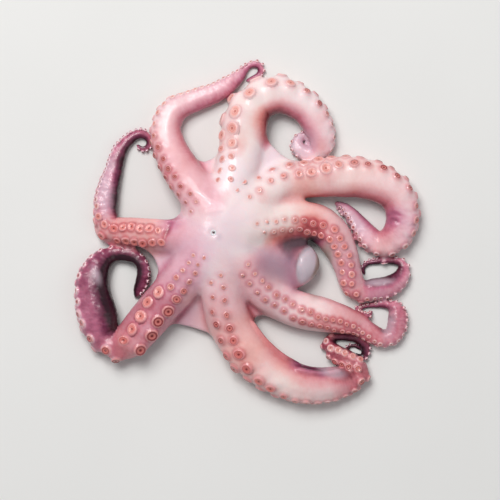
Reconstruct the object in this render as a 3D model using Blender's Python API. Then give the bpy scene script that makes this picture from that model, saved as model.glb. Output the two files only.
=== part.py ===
"""Raw octopus, laid mouth up with its eight arms spread and curled round it.

The whole animal is one closed solid. Its skin is found as the zero level of a distance
field: each arm is a tapering tube along a route chosen by hand, the webs between the arms
are thick triangles, and the crown, head and mantle are ellipsoids. The fields run into each
other softly near the mouth and meet in a crease further out. The cups of the suckers are
then joined on, largest first, and the underside is cut flat where it lies.

The origin is on the ground, straight below the mouth. +X is to the right and +Y is up when
the animal is seen from above. Sizes below are in millimetres.
"""

import math
from collections import namedtuple

import bmesh
import bpy
import numpy as np
import openvdb
from mathutils import Matrix, Vector
from mathutils.bvhtree import BVHTree

NODE = "octopus"
METRES = 0.001

# A limb's height over its width, and how deep it presses on the ground, as a share of width
FLATNESS = 0.86
PRESS = 0.07

# The crown lifts the arms' roots off the ground, out to where they come down
CROWN_LIFT = 24.0
LIFT_FROM = 12.0
LIFT_TO = 95.0

# How softly the forms run into each other, near the mouth and far out
BLEND_NEAR = 15.0
BLEND_FAR = 1.5
BLEND_FROM = 20.0
BLEND_TO = 100.0

# Station: place in plan, width, and the turn of the sucker rows from straight up, in
# degrees, positive to the left of the way the arm runs. rest is extra height it lies on.
Station = namedtuple("Station", "x y width turn rest", defaults=(0.0,))

ARMS = {
    "top_left": [
        Station(0, 7, 26, 20), Station(-12, 30, 33, 32), Station(-29.5, 56.5, 33, 42),
        Station(-39.5, 77, 29, 52), Station(-42, 93, 25.5, 64), Station(-35.5, 107, 23, 76),
        Station(-23, 114, 19.5, 84), Station(-7, 120, 18, 88), Station(6, 125.5, 16.5, 90),
        Station(16, 133, 13, 90), Station(23, 139, 10, 90), Station(27, 144.5, 7, 90),
        Station(32, 148.5, 6, 90), Station(38, 149, 6, 90), Station(41.5, 145, 5.8, 90),
        Station(39.5, 140, 5.4, 90), Station(34, 137.5, 4.6, 90), Station(29.5, 135, 3.4, 90),
    ],
    "top": [
        Station(2, 10, 26, 12), Station(12, 33, 33, 20), Station(21, 60, 38, 30),
        Station(26, 84, 39.5, 45), Station(30, 102, 37, 58), Station(39, 115, 33, 62),
        Station(58, 120.5, 31.5, 65), Station(79.5, 111, 28, 68), Station(92, 92.5, 24.5, 75),
        Station(94.5, 80, 21, 80), Station(90.5, 72, 16, 85), Station(82, 70.5, 13.5, 85),
        Station(75, 75, 12.5, 80), Station(74, 82, 10, 80), Station(78.5, 86, 7.5, 80),
        Station(82.5, 83, 6, 80), Station(82, 79, 5, 80),
    ],
    "upper_right": [
        Station(7, 4.5, 25, 20), Station(32, 24.5, 32, 30), Station(58, 43, 33.5, 38),
        Station(84.5, 47.5, 33.5, 36), Station(115, 49, 35, 56), Station(139, 46, 34, 60),
        Station(160, 34, 31, 68), Station(165.5, 15, 27, 75), Station(160, -2, 25, 80),
        Station(146, -9, 20, 82), Station(133, 1, 18, 66), Station(123, 14, 14, 52),
        Station(115, 22.5, 9, 52), Station(109, 26, 5, 60),
    ],
    "right": [
        Station(9, 1, 25, -5), Station(36, 6, 31, -12), Station(64, 12, 32, -16),
        Station(87, 10.5, 32.5, -20), Station(103, 0, 32, -5), Station(112, -15, 28, 0),
        Station(117.5, -30, 24, -3), Station(122, -44, 22.5, -20), Station(129, -50.5, 19, -55),
        Station(142, -49, 18.5, -80), Station(155, -46.5, 17.5, -85), Station(164.5, -39.5, 14, -85),
        Station(167.5, -31.5, 10, -88), Station(164.5, -26, 7.5, -88), Station(156.5, -24.5, 6.5, -88),
        Station(144.5, -25, 5.6, -88), Station(135, -27, 5.2, -88), Station(132, -31.5, 4.4, -88),
        Station(133, -36, 3.2, -88),
    ],
    "lower_right": [
        Station(7, -8, 24, 0), Station(25.5, -29, 30, 0), Station(44, -49.5, 33.5, -2),
        Station(68, -65, 32.5, -9), Station(93.5, -71.5, 31, -24), Station(112.5, -76, 25.5, -28),
        Station(127, -80, 19, -36), Station(138, -88, 17, -44), Station(150.5, -93, 15, -62),
        Station(159.5, -87, 15.5, -80), Station(161.5, -75.5, 16.5, -88), Station(160, -67, 12.5, -88),
        Station(153, -63.5, 8, -88), Station(142.5, -64, 5.6, -80), Station(132, -65, 5.2, -60),
        Station(127, -68, 5.2, -30), Station(131, -71.5, 5.4, 0, 4.0), Station(137, -72.5, 4.8, 0, 4.0),
        Station(139.5, -69.5, 3.2, 0, 1.0),
    ],
    "bottom": [
        Station(2, -10, 26, 0), Station(4.5, -34, 32, -8), Station(8, -59, 36.5, -12),
        Station(15, -81, 38.5, -24), Station(29, -102, 38.5, -43), Station(48.5, -119, 35, -65),
        Station(73, -131, 32.5, -85), Station(97, -133, 30, -92), Station(116, -129.5, 24, -88),
        Station(127, -122, 19, -45), Station(120, -113.5, 17.5, 0), Station(109, -106, 15, 20),
        Station(101, -98.5, 10.5, 50), Station(104, -93, 7.5, 80), Station(115.5, -92.5, 7, 90),
        Station(127.5, -94, 7.5, 90), Station(134, -101, 8.5, 90), Station(131.5, -109.5, 6.2, 90),
        Station(123, -107.5, 4.8, 90), Station(117, -104, 4.4, 90), Station(120, -100.3, 3.8, 90),
        Station(125, -100, 3.4, 90), Station(128.5, -102.5, 2.8, 90),
    ],
    "lower_left": [
        Station(-5, -8, 25, 0), Station(-16.5, -25.5, 32, 0), Station(-31.5, -46, 35, 4),
        Station(-47.5, -64, 36, -2), Station(-61.5, -81, 34.5, 3), Station(-77.5, -96.5, 30, 20),
        Station(-90, -95, 25, 60), Station(-98, -86, 27, 75), Station(-100.5, -74, 31.5, 78),
        Station(-104.5, -59, 30, 80), Station(-106, -43, 27.5, 80), Station(-101, -29, 21.5, 85),
        Station(-91.5, -20.5, 15, 88), Station(-80, -19, 12.8, 90), Station(-69.5, -22, 11.6, 90),
        Station(-63.5, -29, 11, 88), Station(-63.5, -40, 12, 85), Station(-67, -50, 9.5, 80),
        Station(-68.5, -55.5, 5, 80),
    ],
    "left": [
        Station(-7, -2.5, 24, 0), Station(-25.5, -2.5, 26, 3), Station(-47.5, -2, 27, 8),
        Station(-73, 1.5, 23, 12), Station(-90, 3.5, 20.5, 28), Station(-95, 16, 19.5, 62),
        Station(-94.5, 29, 19.5, 78), Station(-92, 42, 18.5, 82), Station(-88, 55.5, 14.5, 85),
        Station(-86, 65, 13.5, 86), Station(-82, 74, 11.5, 88), Station(-75.5, 82, 10, 90),
        Station(-68, 87, 9, 90), Station(-61, 86.5, 8.2, 90), Station(-57.5, 82, 6.4, 90),
        Station(-58.5, 76.5, 5.4, 90), Station(-63.5, 74.5, 4.8, 90), Station(-67.5, 77.5, 3.4, 90),
    ],
}

# Sucker width over arm width on the full-grown stretch of each arm
SUCKER_SHARE = {
    "top_left": 0.24, "top": 0.27, "upper_right": 0.28, "right": 0.25,
    "lower_right": 0.25, "bottom": 0.26, "lower_left": 0.31, "left": 0.31,
}

# Web: the two arms it spans, how far out it holds each, and the middle of its free edge
Web = namedtuple("Web", "first second reach_first reach_second x y z")

WEBS = [
    Web("top_left", "top", 76, 78, -7, 60, 14),
    Web("top", "upper_right", 92, 92, 56, 68, 15),
    Web("upper_right", "right", 84, 84, 74, 30, 20),
    Web("right", "lower_right", 84, 86, 67, -28, 24),
    Web("lower_right", "bottom", 88, 84, 33, -72, 9),
    Web("bottom", "lower_left", 96, 88, -20, -80, 7),
    Web("lower_left", "left", 76, 62, -45, -33, 20),
    Web("left", "top_left", 46, 62, -24, 16, 20),
]
WEB_THICKNESS = 6.0
WEB_STRETCHES = 6
WEB_BLEND = 7.0

# Ellipsoid: its middle, and its half sizes along X, Y and Z
Ellipsoid = namedtuple("Ellipsoid", "x y z half_x half_y half_z")

CROWN = Ellipsoid(2, -2, 33, 26, 25, 14)
HEAD = Ellipsoid(14, -10, 12, 40, 38, 26)
MANTLE = Ellipsoid(57, -27, 14, 36, 24, 18)

# Grid for the distance field, in the space where limbs are round
CELL = 1.6
STEP_ALONG = 3.0
MARGIN = 6.0
FAR = 60.0

# The skin's facets: how much the field's steps are smoothed, and how many triangles are kept
SMOOTHING = 0.5
SMOOTHING_ROUNDS = 2
BODY_TRIANGLES = 5000

# The rows of suckers: where the first sits, how far short of the tip they stop, the share of
# their full width that the first ones have, where they start and stop growing, how far apart
# they are in a row over their width, and how far each row is from the arm's middle line
FIRST_CUP = 20.0
LAST_CUP = 3.0
YOUNG_CUP = 0.48
GROWN_FROM = 35.0
GROWN_TO = 105.0
ROW_PITCH = 1.35
ROW_SPREAD = 0.70
MOST_SPREAD = 0.60

# A cup: its sides, and its root's depth, its rim's height and its hollow's depth over its
# width, with the spread of its root and its rim
CUP_SIDES = 6
CUP_ROOT = 0.30
CUP_RIM = 0.24
CUP_HOLLOW = 0.16
ROOT_SPREAD = 0.40
RIM_SPREAD = 0.50

# The cups that are modelled: the smallest, how many, and how far off the skin a ray that
# looks for flesh in front of a cup sets out
SMALLEST_CUP = 4.2
CUP_COUNT = 150
RAY_START = 0.3

# Corners closer than this to the ground's plane lie in it, in metres
FLAT_ENOUGH = 1e-7

FLESH_COLOUR = (0.78, 0.56, 0.55, 1.0)
FLESH_ROUGHNESS = 0.32


def smoothstep(low, high, value):
    """Goes from 0 at low to 1 at high, level at both ends."""
    share = np.clip((value - low) / (high - low), 0.0, 1.0)
    return share * share * (3.0 - 2.0 * share)


def lift_at(x, y):
    """Height that the crown gives an arm's underside at a place in plan."""
    return CROWN_LIFT * (1.0 - smoothstep(LIFT_FROM, LIFT_TO, np.hypot(x, y)))


def blend_at(x, y):
    """How softly forms meet at a place in plan."""
    near = 1.0 - smoothstep(BLEND_FROM, BLEND_TO, np.hypot(x, y))
    return BLEND_FAR + (BLEND_NEAR - BLEND_FAR) * near


def spline(points, step):
    """Points about a step apart on a smooth curve through rows of numbers, place first."""
    points = np.asarray(points, dtype=float)
    padded = np.vstack([2 * points[0] - points[1], points, 2 * points[-1] - points[-2]])
    rows = []
    for before, start, end, after in zip(padded, padded[1:], padded[2:], padded[3:]):
        count = max(2, round(np.linalg.norm(end[:2] - start[:2]) / step))
        for t in np.linspace(0.0, 1.0, count, endpoint=False):
            rows.append(0.5 * (2 * start + (end - before) * t
                               + (2 * before - 5 * start + 4 * end - after) * t ** 2
                               + (3 * start - before - 3 * end + after) * t ** 3))
    rows.append(points[-1])
    return np.array(rows)


def arm_route(stations):
    """Rows of x, y, height of the middle, half width and turn along one arm."""
    rows = spline([tuple(station) for station in stations], STEP_ALONG)
    x, y, width, turn, rest = rows.T
    height = lift_at(x, y) + rest + width * FLATNESS * (0.5 - PRESS)
    return np.column_stack([x, y, height, width / 2, turn])


def rounded(place):
    """The same place in the space where limbs are round: heights grow."""
    return np.array([place[0], place[1], place[2] / FLATNESS])


def distance_to_triangle(corners, x, y, z):
    """How far places are from a flat triangle."""
    normal = np.cross(corners[1] - corners[0], corners[2] - corners[0])
    normal /= np.linalg.norm(normal)
    inside = True
    to_edges = FAR
    for start, end in zip(corners, corners[1:] + corners[:1]):
        edge = end - start
        across = np.cross(normal, edge)
        off = (x - start[0], y - start[1], z - start[2])
        share = (off[0] * edge[0] + off[1] * edge[1] + off[2] * edge[2]) / (edge @ edge)
        share = np.clip(share, 0.0, 1.0)
        away = sum((off[i] - share * edge[i]) ** 2 for i in range(3))
        to_edges = np.minimum(to_edges, np.sqrt(away))
        inside = inside & (off[0] * across[0] + off[1] * across[1] + off[2] * across[2] > 0)
    off = (x - corners[0][0], y - corners[0][1], z - corners[0][2])
    level = abs(off[0] * normal[0] + off[1] * normal[1] + off[2] * normal[2])
    return np.where(inside, level, to_edges)


class Field:
    """A distance field on a grid, negative inside the flesh."""

    def __init__(self, low, high):
        self.low = rounded(low)
        counts = np.ceil((rounded(high) - self.low) / CELL).astype(int) + 1
        self.axes = [self.low[i] + CELL * np.arange(counts[i]) for i in range(3)]
        self.values = np.full(counts, FAR, dtype=np.float32)
        self.blend = blend_at(self.axes[0][:, None], self.axes[1][None, :])[:, :, None]

    def window(self, low, high):
        """The cells of a box, and their places."""
        cells = []
        places = []
        for axis, start, end in zip(self.axes, low, high):
            first, last = np.searchsorted(axis, [start, end])
            cells.append(slice(first, last))
            places.append(axis[first:last])
        x, y, z = np.meshgrid(*places, indexing="ij", sparse=True)
        return tuple(cells), x, y, z

    def add_softly(self, cells, other, least_blend=0.0):
        """Joins another form on with a fillet as wide as the local blend, or as the least one."""
        own = self.values[cells]
        blend = np.maximum(self.blend[cells[0], cells[1]], least_blend)
        overlap = np.maximum(blend - np.abs(own - other), 0.0)
        self.values[cells] = np.minimum(own, other) - overlap ** 2 / (4.0 * blend)

    def add_arm(self, route):
        """A tube through the route's middles, its stretches joined sharply."""
        reach = BLEND_NEAR + MARGIN
        middles = np.array([rounded(row[:3]) for row in route])
        radii = route[:, 3]
        low = middles.min(axis=0) - radii.max() - reach
        high = middles.max(axis=0) + radii.max() + reach
        arm_cells, _, _, _ = self.window(low, high)
        tube = np.full(self.values.shape, FAR, dtype=np.float32)
        for start, end, thick, thin in zip(middles, middles[1:], radii, radii[1:]):
            pad = max(thick, thin) + float(blend_at(start[0], start[1])) + MARGIN
            cells, x, y, z = self.window(np.minimum(start, end) - pad, np.maximum(start, end) + pad)
            along = end - start
            share = (x - start[0]) * along[0] + (y - start[1]) * along[1] + (z - start[2]) * along[2]
            share = np.clip(share / (along @ along), 0.0, 1.0)
            away = np.sqrt((x - start[0] - share * along[0]) ** 2
                           + (y - start[1] - share * along[1]) ** 2
                           + (z - start[2] - share * along[2]) ** 2)
            tube[cells] = np.minimum(tube[cells], away - thick - share * (thin - thick))
        self.add_softly(arm_cells, tube[arm_cells])

    def add_ellipsoid(self, form):
        """One ellipsoid, by the usual estimate of the distance to it."""
        middle = rounded((form.x, form.y, form.z))
        half = rounded((form.half_x, form.half_y, form.half_z))
        pad = max(half) + BLEND_NEAR + MARGIN
        cells, x, y, z = self.window(middle - pad, middle + pad)
        east = x - middle[0]
        north = y - middle[1]
        up = z - middle[2]
        near = np.sqrt((east / half[0]) ** 2 + (north / half[1]) ** 2 + (up / half[2]) ** 2)
        slope = np.sqrt((east / half[0] ** 2) ** 2 + (north / half[1] ** 2) ** 2
                        + (up / half[2] ** 2) ** 2)
        self.add_softly(cells, near * (near - 1.0) / np.maximum(slope, 1e-6))

    def add_web(self, middle, free_edge):
        """A sheet with a rounded rim, fanned out from its middle to the points of its edge."""
        middle = rounded(middle)
        rim = [rounded(point) for point in free_edge]
        pad = BLEND_NEAR + MARGIN
        low = np.minimum(middle, np.min(rim, axis=0)) - pad
        high = np.maximum(middle, np.max(rim, axis=0)) + pad
        cells, x, y, z = self.window(low, high)
        sheet = FAR
        for start, end in zip(rim, rim[1:]):
            sheet = np.minimum(sheet, distance_to_triangle([middle, start, end], x, y, z))
        self.add_softly(cells, sheet - WEB_THICKNESS / 2, WEB_BLEND)

    def surface(self):
        """Corners and faces of the zero level, back in real space."""
        grid = openvdb.FloatGrid(FAR)
        grid.copyFromArray(self.values)
        points, triangles, quads = grid.convertToPolygons(isovalue=0.0, adaptivity=0.0)
        points = points * CELL + self.low
        points[:, 2] *= FLATNESS
        return points, [tuple(face) for face in triangles] + [tuple(face) for face in quads]


def place_on_arm(route, reach):
    """The middle of an arm at a distance along it."""
    steps = np.linalg.norm(np.diff(route[:, :2], axis=0), axis=1)
    along = np.concatenate([[0.0], np.cumsum(steps)])
    return np.array([np.interp(reach, along, route[:, i]) for i in range(3)])


def web_edge(web, routes):
    """Points of a web's free edge: from arm to arm, on a parabola through its middle."""
    first = place_on_arm(routes[web.first], web.reach_first)
    second = place_on_arm(routes[web.second], web.reach_second)
    bend = 2.0 * np.array([web.x, web.y, web.z]) - (first + second) / 2
    shares = np.linspace(0.0, 1.0, WEB_STRETCHES + 1)
    return [(1 - t) ** 2 * first + 2 * t * (1 - t) * bend + t ** 2 * second for t in shares]


def flesh_field(routes):
    """The whole animal's distance field."""
    everything = np.vstack(list(routes.values()))
    widest = everything[:, 3].max() + MARGIN
    low = everything[:, :3].min(axis=0) - widest
    high = everything[:, :3].max(axis=0) + widest + BLEND_NEAR / 2
    low[2] = -MARGIN
    field = Field(low, high)
    for form in (HEAD, MANTLE, CROWN):
        field.add_ellipsoid(form)
    for route in routes.values():
        field.add_arm(route)
    for web in WEBS:
        field.add_web((CROWN.x, CROWN.y, CROWN.z), web_edge(web, routes))
    return field


def new_object(name, points, faces):
    """A mesh object in the scene from points in millimetres."""
    mesh = bpy.data.meshes.new(name)
    mesh.from_pydata([tuple(point * METRES) for point in np.asarray(points)], [], faces)
    obj = bpy.data.objects.new(name, mesh)
    bpy.context.scene.collection.objects.link(obj)
    return obj


def face_outwards(obj):
    """Turns every face of a closed mesh outwards."""
    shape = bmesh.new()
    shape.from_mesh(obj.data)
    bmesh.ops.recalc_face_normals(shape, faces=shape.faces)
    if shape.calc_volume(signed=True) < 0:
        bmesh.ops.reverse_faces(shape, faces=shape.faces)
    shape.to_mesh(obj.data)
    shape.free()


def keep_result(obj):
    """Replaces the object's mesh by what its modifiers make of it."""
    graph = bpy.context.evaluated_depsgraph_get()
    result = bpy.data.meshes.new_from_object(obj.evaluated_get(graph))
    obj.modifiers.clear()
    obj.data = result


def sucker_places(route, share):
    """Rows of middle, outward direction and width for the two staggered rows of one arm."""
    steps = np.linalg.norm(np.diff(route[:, :2], axis=0), axis=1)
    along = np.concatenate([[0.0], np.cumsum(steps)])
    places = []
    reach = FIRST_CUP
    side = 1
    while reach < along[-1] - LAST_CUP:
        x, y, height, half, turn = (np.interp(reach, along, route[:, i]) for i in range(5))
        ahead = place_on_arm(route, reach + 1.0) - place_on_arm(route, reach - 1.0)
        heading = Vector((ahead[0], ahead[1], 0.0)).normalized()
        left = Vector((-heading.y, heading.x, 0.0))
        growth = YOUNG_CUP + (1.0 - YOUNG_CUP) * float(smoothstep(GROWN_FROM, GROWN_TO, reach))
        width = share * 2 * half * growth
        spread = math.asin(min(MOST_SPREAD, ROW_SPREAD * width / half))
        angle = math.radians(turn) + side * spread
        outward = left * math.sin(angle) + Vector((0, 0, FLATNESS)) * math.cos(angle)
        places.append((Vector((x, y, height)), outward.normalized(), width))
        reach += ROW_PITCH * width / math.sqrt(growth) / 2
        side = -side
    return places


def cup_mesh(name, middle, outward, width):
    """One sucker: a short tapered cup with a hollow in its end, its root inside the arm."""
    shape = bmesh.new()
    loops = []
    for height, spread in ((-CUP_ROOT * width, ROOT_SPREAD), (CUP_RIM * width, RIM_SPREAD)):
        loop = []
        for side in range(CUP_SIDES):
            angle = 2 * math.pi * side / CUP_SIDES
            spot = Vector((math.cos(angle), math.sin(angle), 0.0)) * (spread * width)
            loop.append(shape.verts.new(spot + Vector((0, 0, height))))
        loops.append(loop)
    below, above = loops
    floor = shape.verts.new(Vector((0, 0, (CUP_RIM - CUP_HOLLOW) * width)))
    for side in range(CUP_SIDES):
        after = (side + 1) % CUP_SIDES
        shape.faces.new((below[side], below[after], above[after], above[side]))
        shape.faces.new((above[side], above[after], floor))
    shape.faces.new(list(reversed(below)))
    turn = outward.to_track_quat("Z", "Y").to_matrix().to_4x4()
    shape.transform(Matrix.Scale(METRES, 4) @ Matrix.Translation(middle) @ turn)
    mesh = bpy.data.meshes.new(name)
    shape.to_mesh(mesh)
    shape.free()
    return mesh


def add_cups(body, routes):
    """Joins the largest suckers that stand free onto the body with one union."""
    shape = bmesh.new()
    shape.from_mesh(body.data)
    skin = BVHTree.FromBMesh(shape)
    shape.free()
    wanted = []
    for name, route in routes.items():
        for inside, outward, width in sucker_places(route, SUCKER_SHARE[name]):
            if width < SMALLEST_CUP:
                continue
            hit, _, _, _ = skin.ray_cast(inside * METRES, outward)
            if hit is None:
                continue
            start = hit + outward * RAY_START * METRES
            blocked, _, _, _ = skin.ray_cast(start, outward, width * METRES)
            if blocked is None and hit.z > width * METRES:
                wanted.append((width, hit / METRES, outward))
    wanted.sort(key=lambda row: -row[0])
    cups = bpy.data.collections.new("cups")
    bpy.context.scene.collection.children.link(cups)
    for number, (width, middle, outward) in enumerate(wanted[:CUP_COUNT]):
        name = f"cup_{number:03d}"
        cup = bpy.data.objects.new(name, cup_mesh(name, middle, outward, width))
        cups.objects.link(cup)
    union = body.modifiers.new("Suckers", "BOOLEAN")
    union.operation = "UNION"
    union.operand_type = "COLLECTION"
    union.collection = cups
    union.solver = "MANIFOLD"
    keep_result(body)
    for cup in list(cups.objects):
        bpy.data.objects.remove(cup, do_unlink=True)
    bpy.data.collections.remove(cups)


def cut_flat(body):
    """Cuts away what lies below the ground, and closes the cut with flat faces."""
    shape = bmesh.new()
    shape.from_mesh(body.data)
    everything = shape.verts[:] + shape.edges[:] + shape.faces[:]
    bmesh.ops.bisect_plane(shape, geom=everything, dist=FLAT_ENOUGH, plane_co=(0, 0, 0),
                           plane_no=(0, 0, -1), clear_outer=True)
    rims = [edge for edge in shape.edges if edge.is_boundary]
    bmesh.ops.triangle_fill(shape, edges=rims, use_beauty=True)
    bmesh.ops.recalc_face_normals(shape, faces=shape.faces)
    shape.to_mesh(body.data)
    shape.free()


def flesh_material():
    """Wet raw flesh in one plain colour."""
    material = bpy.data.materials.new("flesh")
    material.use_nodes = True
    shader = material.node_tree.nodes["Principled BSDF"]
    shader.inputs["Base Color"].default_value = FLESH_COLOUR
    shader.inputs["Roughness"].default_value = FLESH_ROUGHNESS
    shader.inputs["Metallic"].default_value = 0.0
    return material


def build():
    for obj in list(bpy.data.objects):
        bpy.data.objects.remove(obj, do_unlink=True)
    routes = {name: arm_route(stations) for name, stations in ARMS.items()}
    points, faces = flesh_field(routes).surface()
    body = new_object(NODE, points, faces)
    face_outwards(body)
    smoother = body.modifiers.new("Smoother", "SMOOTH")
    smoother.factor = SMOOTHING
    smoother.iterations = SMOOTHING_ROUNDS
    coarser = body.modifiers.new("Coarser", "DECIMATE")
    coarser.ratio = BODY_TRIANGLES / (2 * len(faces))
    keep_result(body)
    add_cups(body, routes)
    cut_flat(body)
    body.data.materials.clear()
    body.data.materials.append(flesh_material())
    body.data.shade_smooth()
    return body


build()
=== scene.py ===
"""Looks of a raw octopus that lies mouth up, with its eight arms spread and curled round it.

The skin is the zero level of a distance field of arms, webs and rounded forms, at a fine grain.
Each sucker raises a soft mound in it, and creases, folds and a pucker round the mouth are then
pushed into its corners. The suckers themselves are set on the skin by Geometry Nodes. Colour
follows the anatomy: how far along an arm and how far round to its back a place is, how near
to a sucker, and how near to the crown. Part of it is painted shade and light: shade on the
arms' flanks that face away from the light, in creases, at the suckers' feet and openings, under
an overhanging arm, in the hollow by the mantle and on its far side, and sheen on pale patches.

Sizes of the anatomy are in millimetres, until a mesh is made of them in metres.
"""

import math
import random
from collections import namedtuple

import bmesh
import bpy
import numpy as np
import openvdb
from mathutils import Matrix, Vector, noise
from mathutils.bvhtree import BVHTree
from mathutils.kdtree import KDTree


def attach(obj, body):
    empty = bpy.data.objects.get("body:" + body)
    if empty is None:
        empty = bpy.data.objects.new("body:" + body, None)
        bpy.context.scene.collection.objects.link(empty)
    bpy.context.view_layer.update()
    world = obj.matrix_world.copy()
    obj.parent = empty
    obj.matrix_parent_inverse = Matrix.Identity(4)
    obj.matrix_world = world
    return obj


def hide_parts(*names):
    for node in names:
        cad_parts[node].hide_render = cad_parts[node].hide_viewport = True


METRES = 0.001
ON_GROUND = 1e-6
BODY = "root"
NODE = "octopus"

# Anatomy: a limb's height over its width, and how deep it presses on the ground
FLATNESS = 0.86
PRESS = 0.07

# The crown lifts the arms' roots off the ground, out to where they come down
CROWN_LIFT = 24.0
LIFT_FROM = 12.0
LIFT_TO = 95.0

# How softly the forms run into each other, near the mouth and far out
BLEND_NEAR = 15.0
BLEND_FAR = 1.5
BLEND_FROM = 20.0
BLEND_TO = 100.0

# Station: place in plan, width, and the turn of the sucker rows from straight up, in
# degrees, positive to the left of the way the arm runs. rest is extra height it lies on.
Station = namedtuple("Station", "x y width turn rest", defaults=(0.0,))

ARMS = {
    "top_left": [
        Station(0, 7, 26, 20), Station(-12, 30, 33, 32), Station(-29.5, 56.5, 33, 42),
        Station(-39.5, 77, 29, 52), Station(-42, 93, 25.5, 64), Station(-35.5, 107, 23, 76),
        Station(-23, 114, 19.5, 84), Station(-7, 120, 18, 88), Station(6, 125.5, 16.5, 90),
        Station(16, 133, 13, 90), Station(23, 139, 10, 90), Station(27, 144.5, 7, 90),
        Station(32, 148.5, 6, 90), Station(38, 149, 6, 90), Station(41.5, 145, 5.8, 90),
        Station(39.5, 140, 5.4, 90), Station(34, 137.5, 4.6, 90), Station(29.5, 135, 3.4, 90),
    ],
    "top": [
        Station(2, 10, 26, 12), Station(12, 33, 33, 20), Station(21, 60, 38, 30),
        Station(26, 84, 39.5, 45), Station(30, 102, 37, 58), Station(39, 115, 33, 62),
        Station(58, 120.5, 31.5, 65), Station(79.5, 111, 28, 68), Station(92, 92.5, 24.5, 75),
        Station(94.5, 80, 21, 80), Station(90.5, 72, 16, 85), Station(82, 70.5, 13.5, 85),
        Station(75, 75, 12.5, 80), Station(74, 82, 10, 80), Station(78.5, 86, 7.5, 80),
        Station(82.5, 83, 6, 80), Station(82, 79, 5, 80),
    ],
    "upper_right": [
        Station(7, 4.5, 25, 20), Station(32, 24.5, 32, 30), Station(58, 43, 33.5, 38),
        Station(84.5, 47.5, 33.5, 36), Station(115, 49, 35, 56), Station(139, 46, 34, 60),
        Station(160, 34, 31, 68), Station(165.5, 15, 27, 75), Station(160, -2, 25, 80),
        Station(146, -9, 20, 82), Station(133, 1, 18, 66), Station(123, 14, 14, 52),
        Station(115, 22.5, 9, 52), Station(109, 26, 5, 60),
    ],
    "right": [
        Station(9, 1, 25, -5), Station(36, 6, 31, -12), Station(64, 12, 32, -16),
        Station(87, 10.5, 32.5, -20), Station(103, 0, 32, -5), Station(112, -15, 28, 0),
        Station(117.5, -30, 24, -3), Station(122, -44, 22.5, -20), Station(129, -50.5, 19, -55),
        Station(142, -49, 18.5, -80), Station(155, -46.5, 17.5, -85), Station(164.5, -39.5, 14, -85),
        Station(167.5, -31.5, 10, -88), Station(164.5, -26, 7.5, -88), Station(156.5, -24.5, 6.5, -88),
        Station(144.5, -25, 5.6, -88), Station(135, -27, 5.2, -88), Station(132, -31.5, 4.4, -88),
        Station(133, -36, 3.2, -88),
    ],
    "lower_right": [
        Station(7, -8, 24, 0), Station(25.5, -29, 30, 0), Station(44, -49.5, 33.5, -2),
        Station(68, -65, 32.5, -9), Station(93.5, -71.5, 31, -24), Station(112.5, -76, 25.5, -28),
        Station(127, -80, 19, -36), Station(138, -88, 17, -44), Station(150.5, -93, 15, -62),
        Station(159.5, -87, 15.5, -80), Station(161.5, -75.5, 16.5, -88), Station(160, -67, 12.5, -88),
        Station(153, -63.5, 8, -88), Station(142.5, -64, 5.6, -80), Station(132, -65, 5.2, -60),
        Station(127, -68, 5.2, -30), Station(131, -71.5, 5.4, 0, 4.0), Station(137, -72.5, 4.8, 0, 4.0),
        Station(139.5, -69.5, 3.2, 0, 1.0),
    ],
    "bottom": [
        Station(2, -10, 26, 0), Station(4.5, -34, 32, -8), Station(8, -59, 36.5, -12),
        Station(15, -81, 38.5, -24), Station(29, -102, 38.5, -43), Station(48.5, -119, 35, -65),
        Station(73, -131, 32.5, -85), Station(97, -133, 30, -92), Station(116, -129.5, 24, -88),
        Station(127, -122, 19, -45), Station(120, -113.5, 17.5, 0), Station(109, -106, 15, 20),
        Station(101, -98.5, 10.5, 50), Station(104, -93, 7.5, 80), Station(115.5, -92.5, 7, 90),
        Station(127.5, -94, 7.5, 90), Station(134, -101, 8.5, 90), Station(131.5, -109.5, 6.2, 90),
        Station(123, -107.5, 4.8, 90), Station(117, -104, 4.4, 90), Station(120, -100.3, 3.8, 90),
        Station(125, -100, 3.4, 90), Station(128.5, -102.5, 2.8, 90),
    ],
    "lower_left": [
        Station(-5, -8, 25, 0), Station(-16.5, -25.5, 32, 0), Station(-31.5, -46, 35, 4),
        Station(-47.5, -64, 36, -2), Station(-61.5, -81, 34.5, 3), Station(-77.5, -96.5, 30, 20),
        Station(-90, -95, 25, 60), Station(-98, -86, 27, 75), Station(-100.5, -74, 31.5, 78),
        Station(-104.5, -59, 30, 80), Station(-106, -43, 27.5, 80), Station(-101, -29, 21.5, 85),
        Station(-91.5, -20.5, 15, 88), Station(-80, -19, 12.8, 90), Station(-69.5, -22, 11.6, 90),
        Station(-63.5, -29, 11, 88), Station(-63.5, -40, 12, 85), Station(-67, -50, 9.5, 80),
        Station(-68.5, -55.5, 5, 80),
    ],
    "left": [
        Station(-7, -2.5, 24, 0), Station(-25.5, -2.5, 26, 3), Station(-47.5, -2, 27, 8),
        Station(-73, 1.5, 23, 12), Station(-90, 3.5, 20.5, 28), Station(-95, 16, 19.5, 62),
        Station(-94.5, 29, 19.5, 78), Station(-92, 42, 18.5, 82), Station(-88, 55.5, 14.5, 85),
        Station(-86, 65, 13.5, 86), Station(-82, 74, 11.5, 88), Station(-75.5, 82, 10, 90),
        Station(-68, 87, 9, 90), Station(-61, 86.5, 8.2, 90), Station(-57.5, 82, 6.4, 90),
        Station(-58.5, 76.5, 5.4, 90), Station(-63.5, 74.5, 4.8, 90), Station(-67.5, 77.5, 3.4, 90),
    ],
}

# Web: the two arms it spans, how far out it holds each, and the middle of its free edge
Web = namedtuple("Web", "first second reach_first reach_second x y z")

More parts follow.
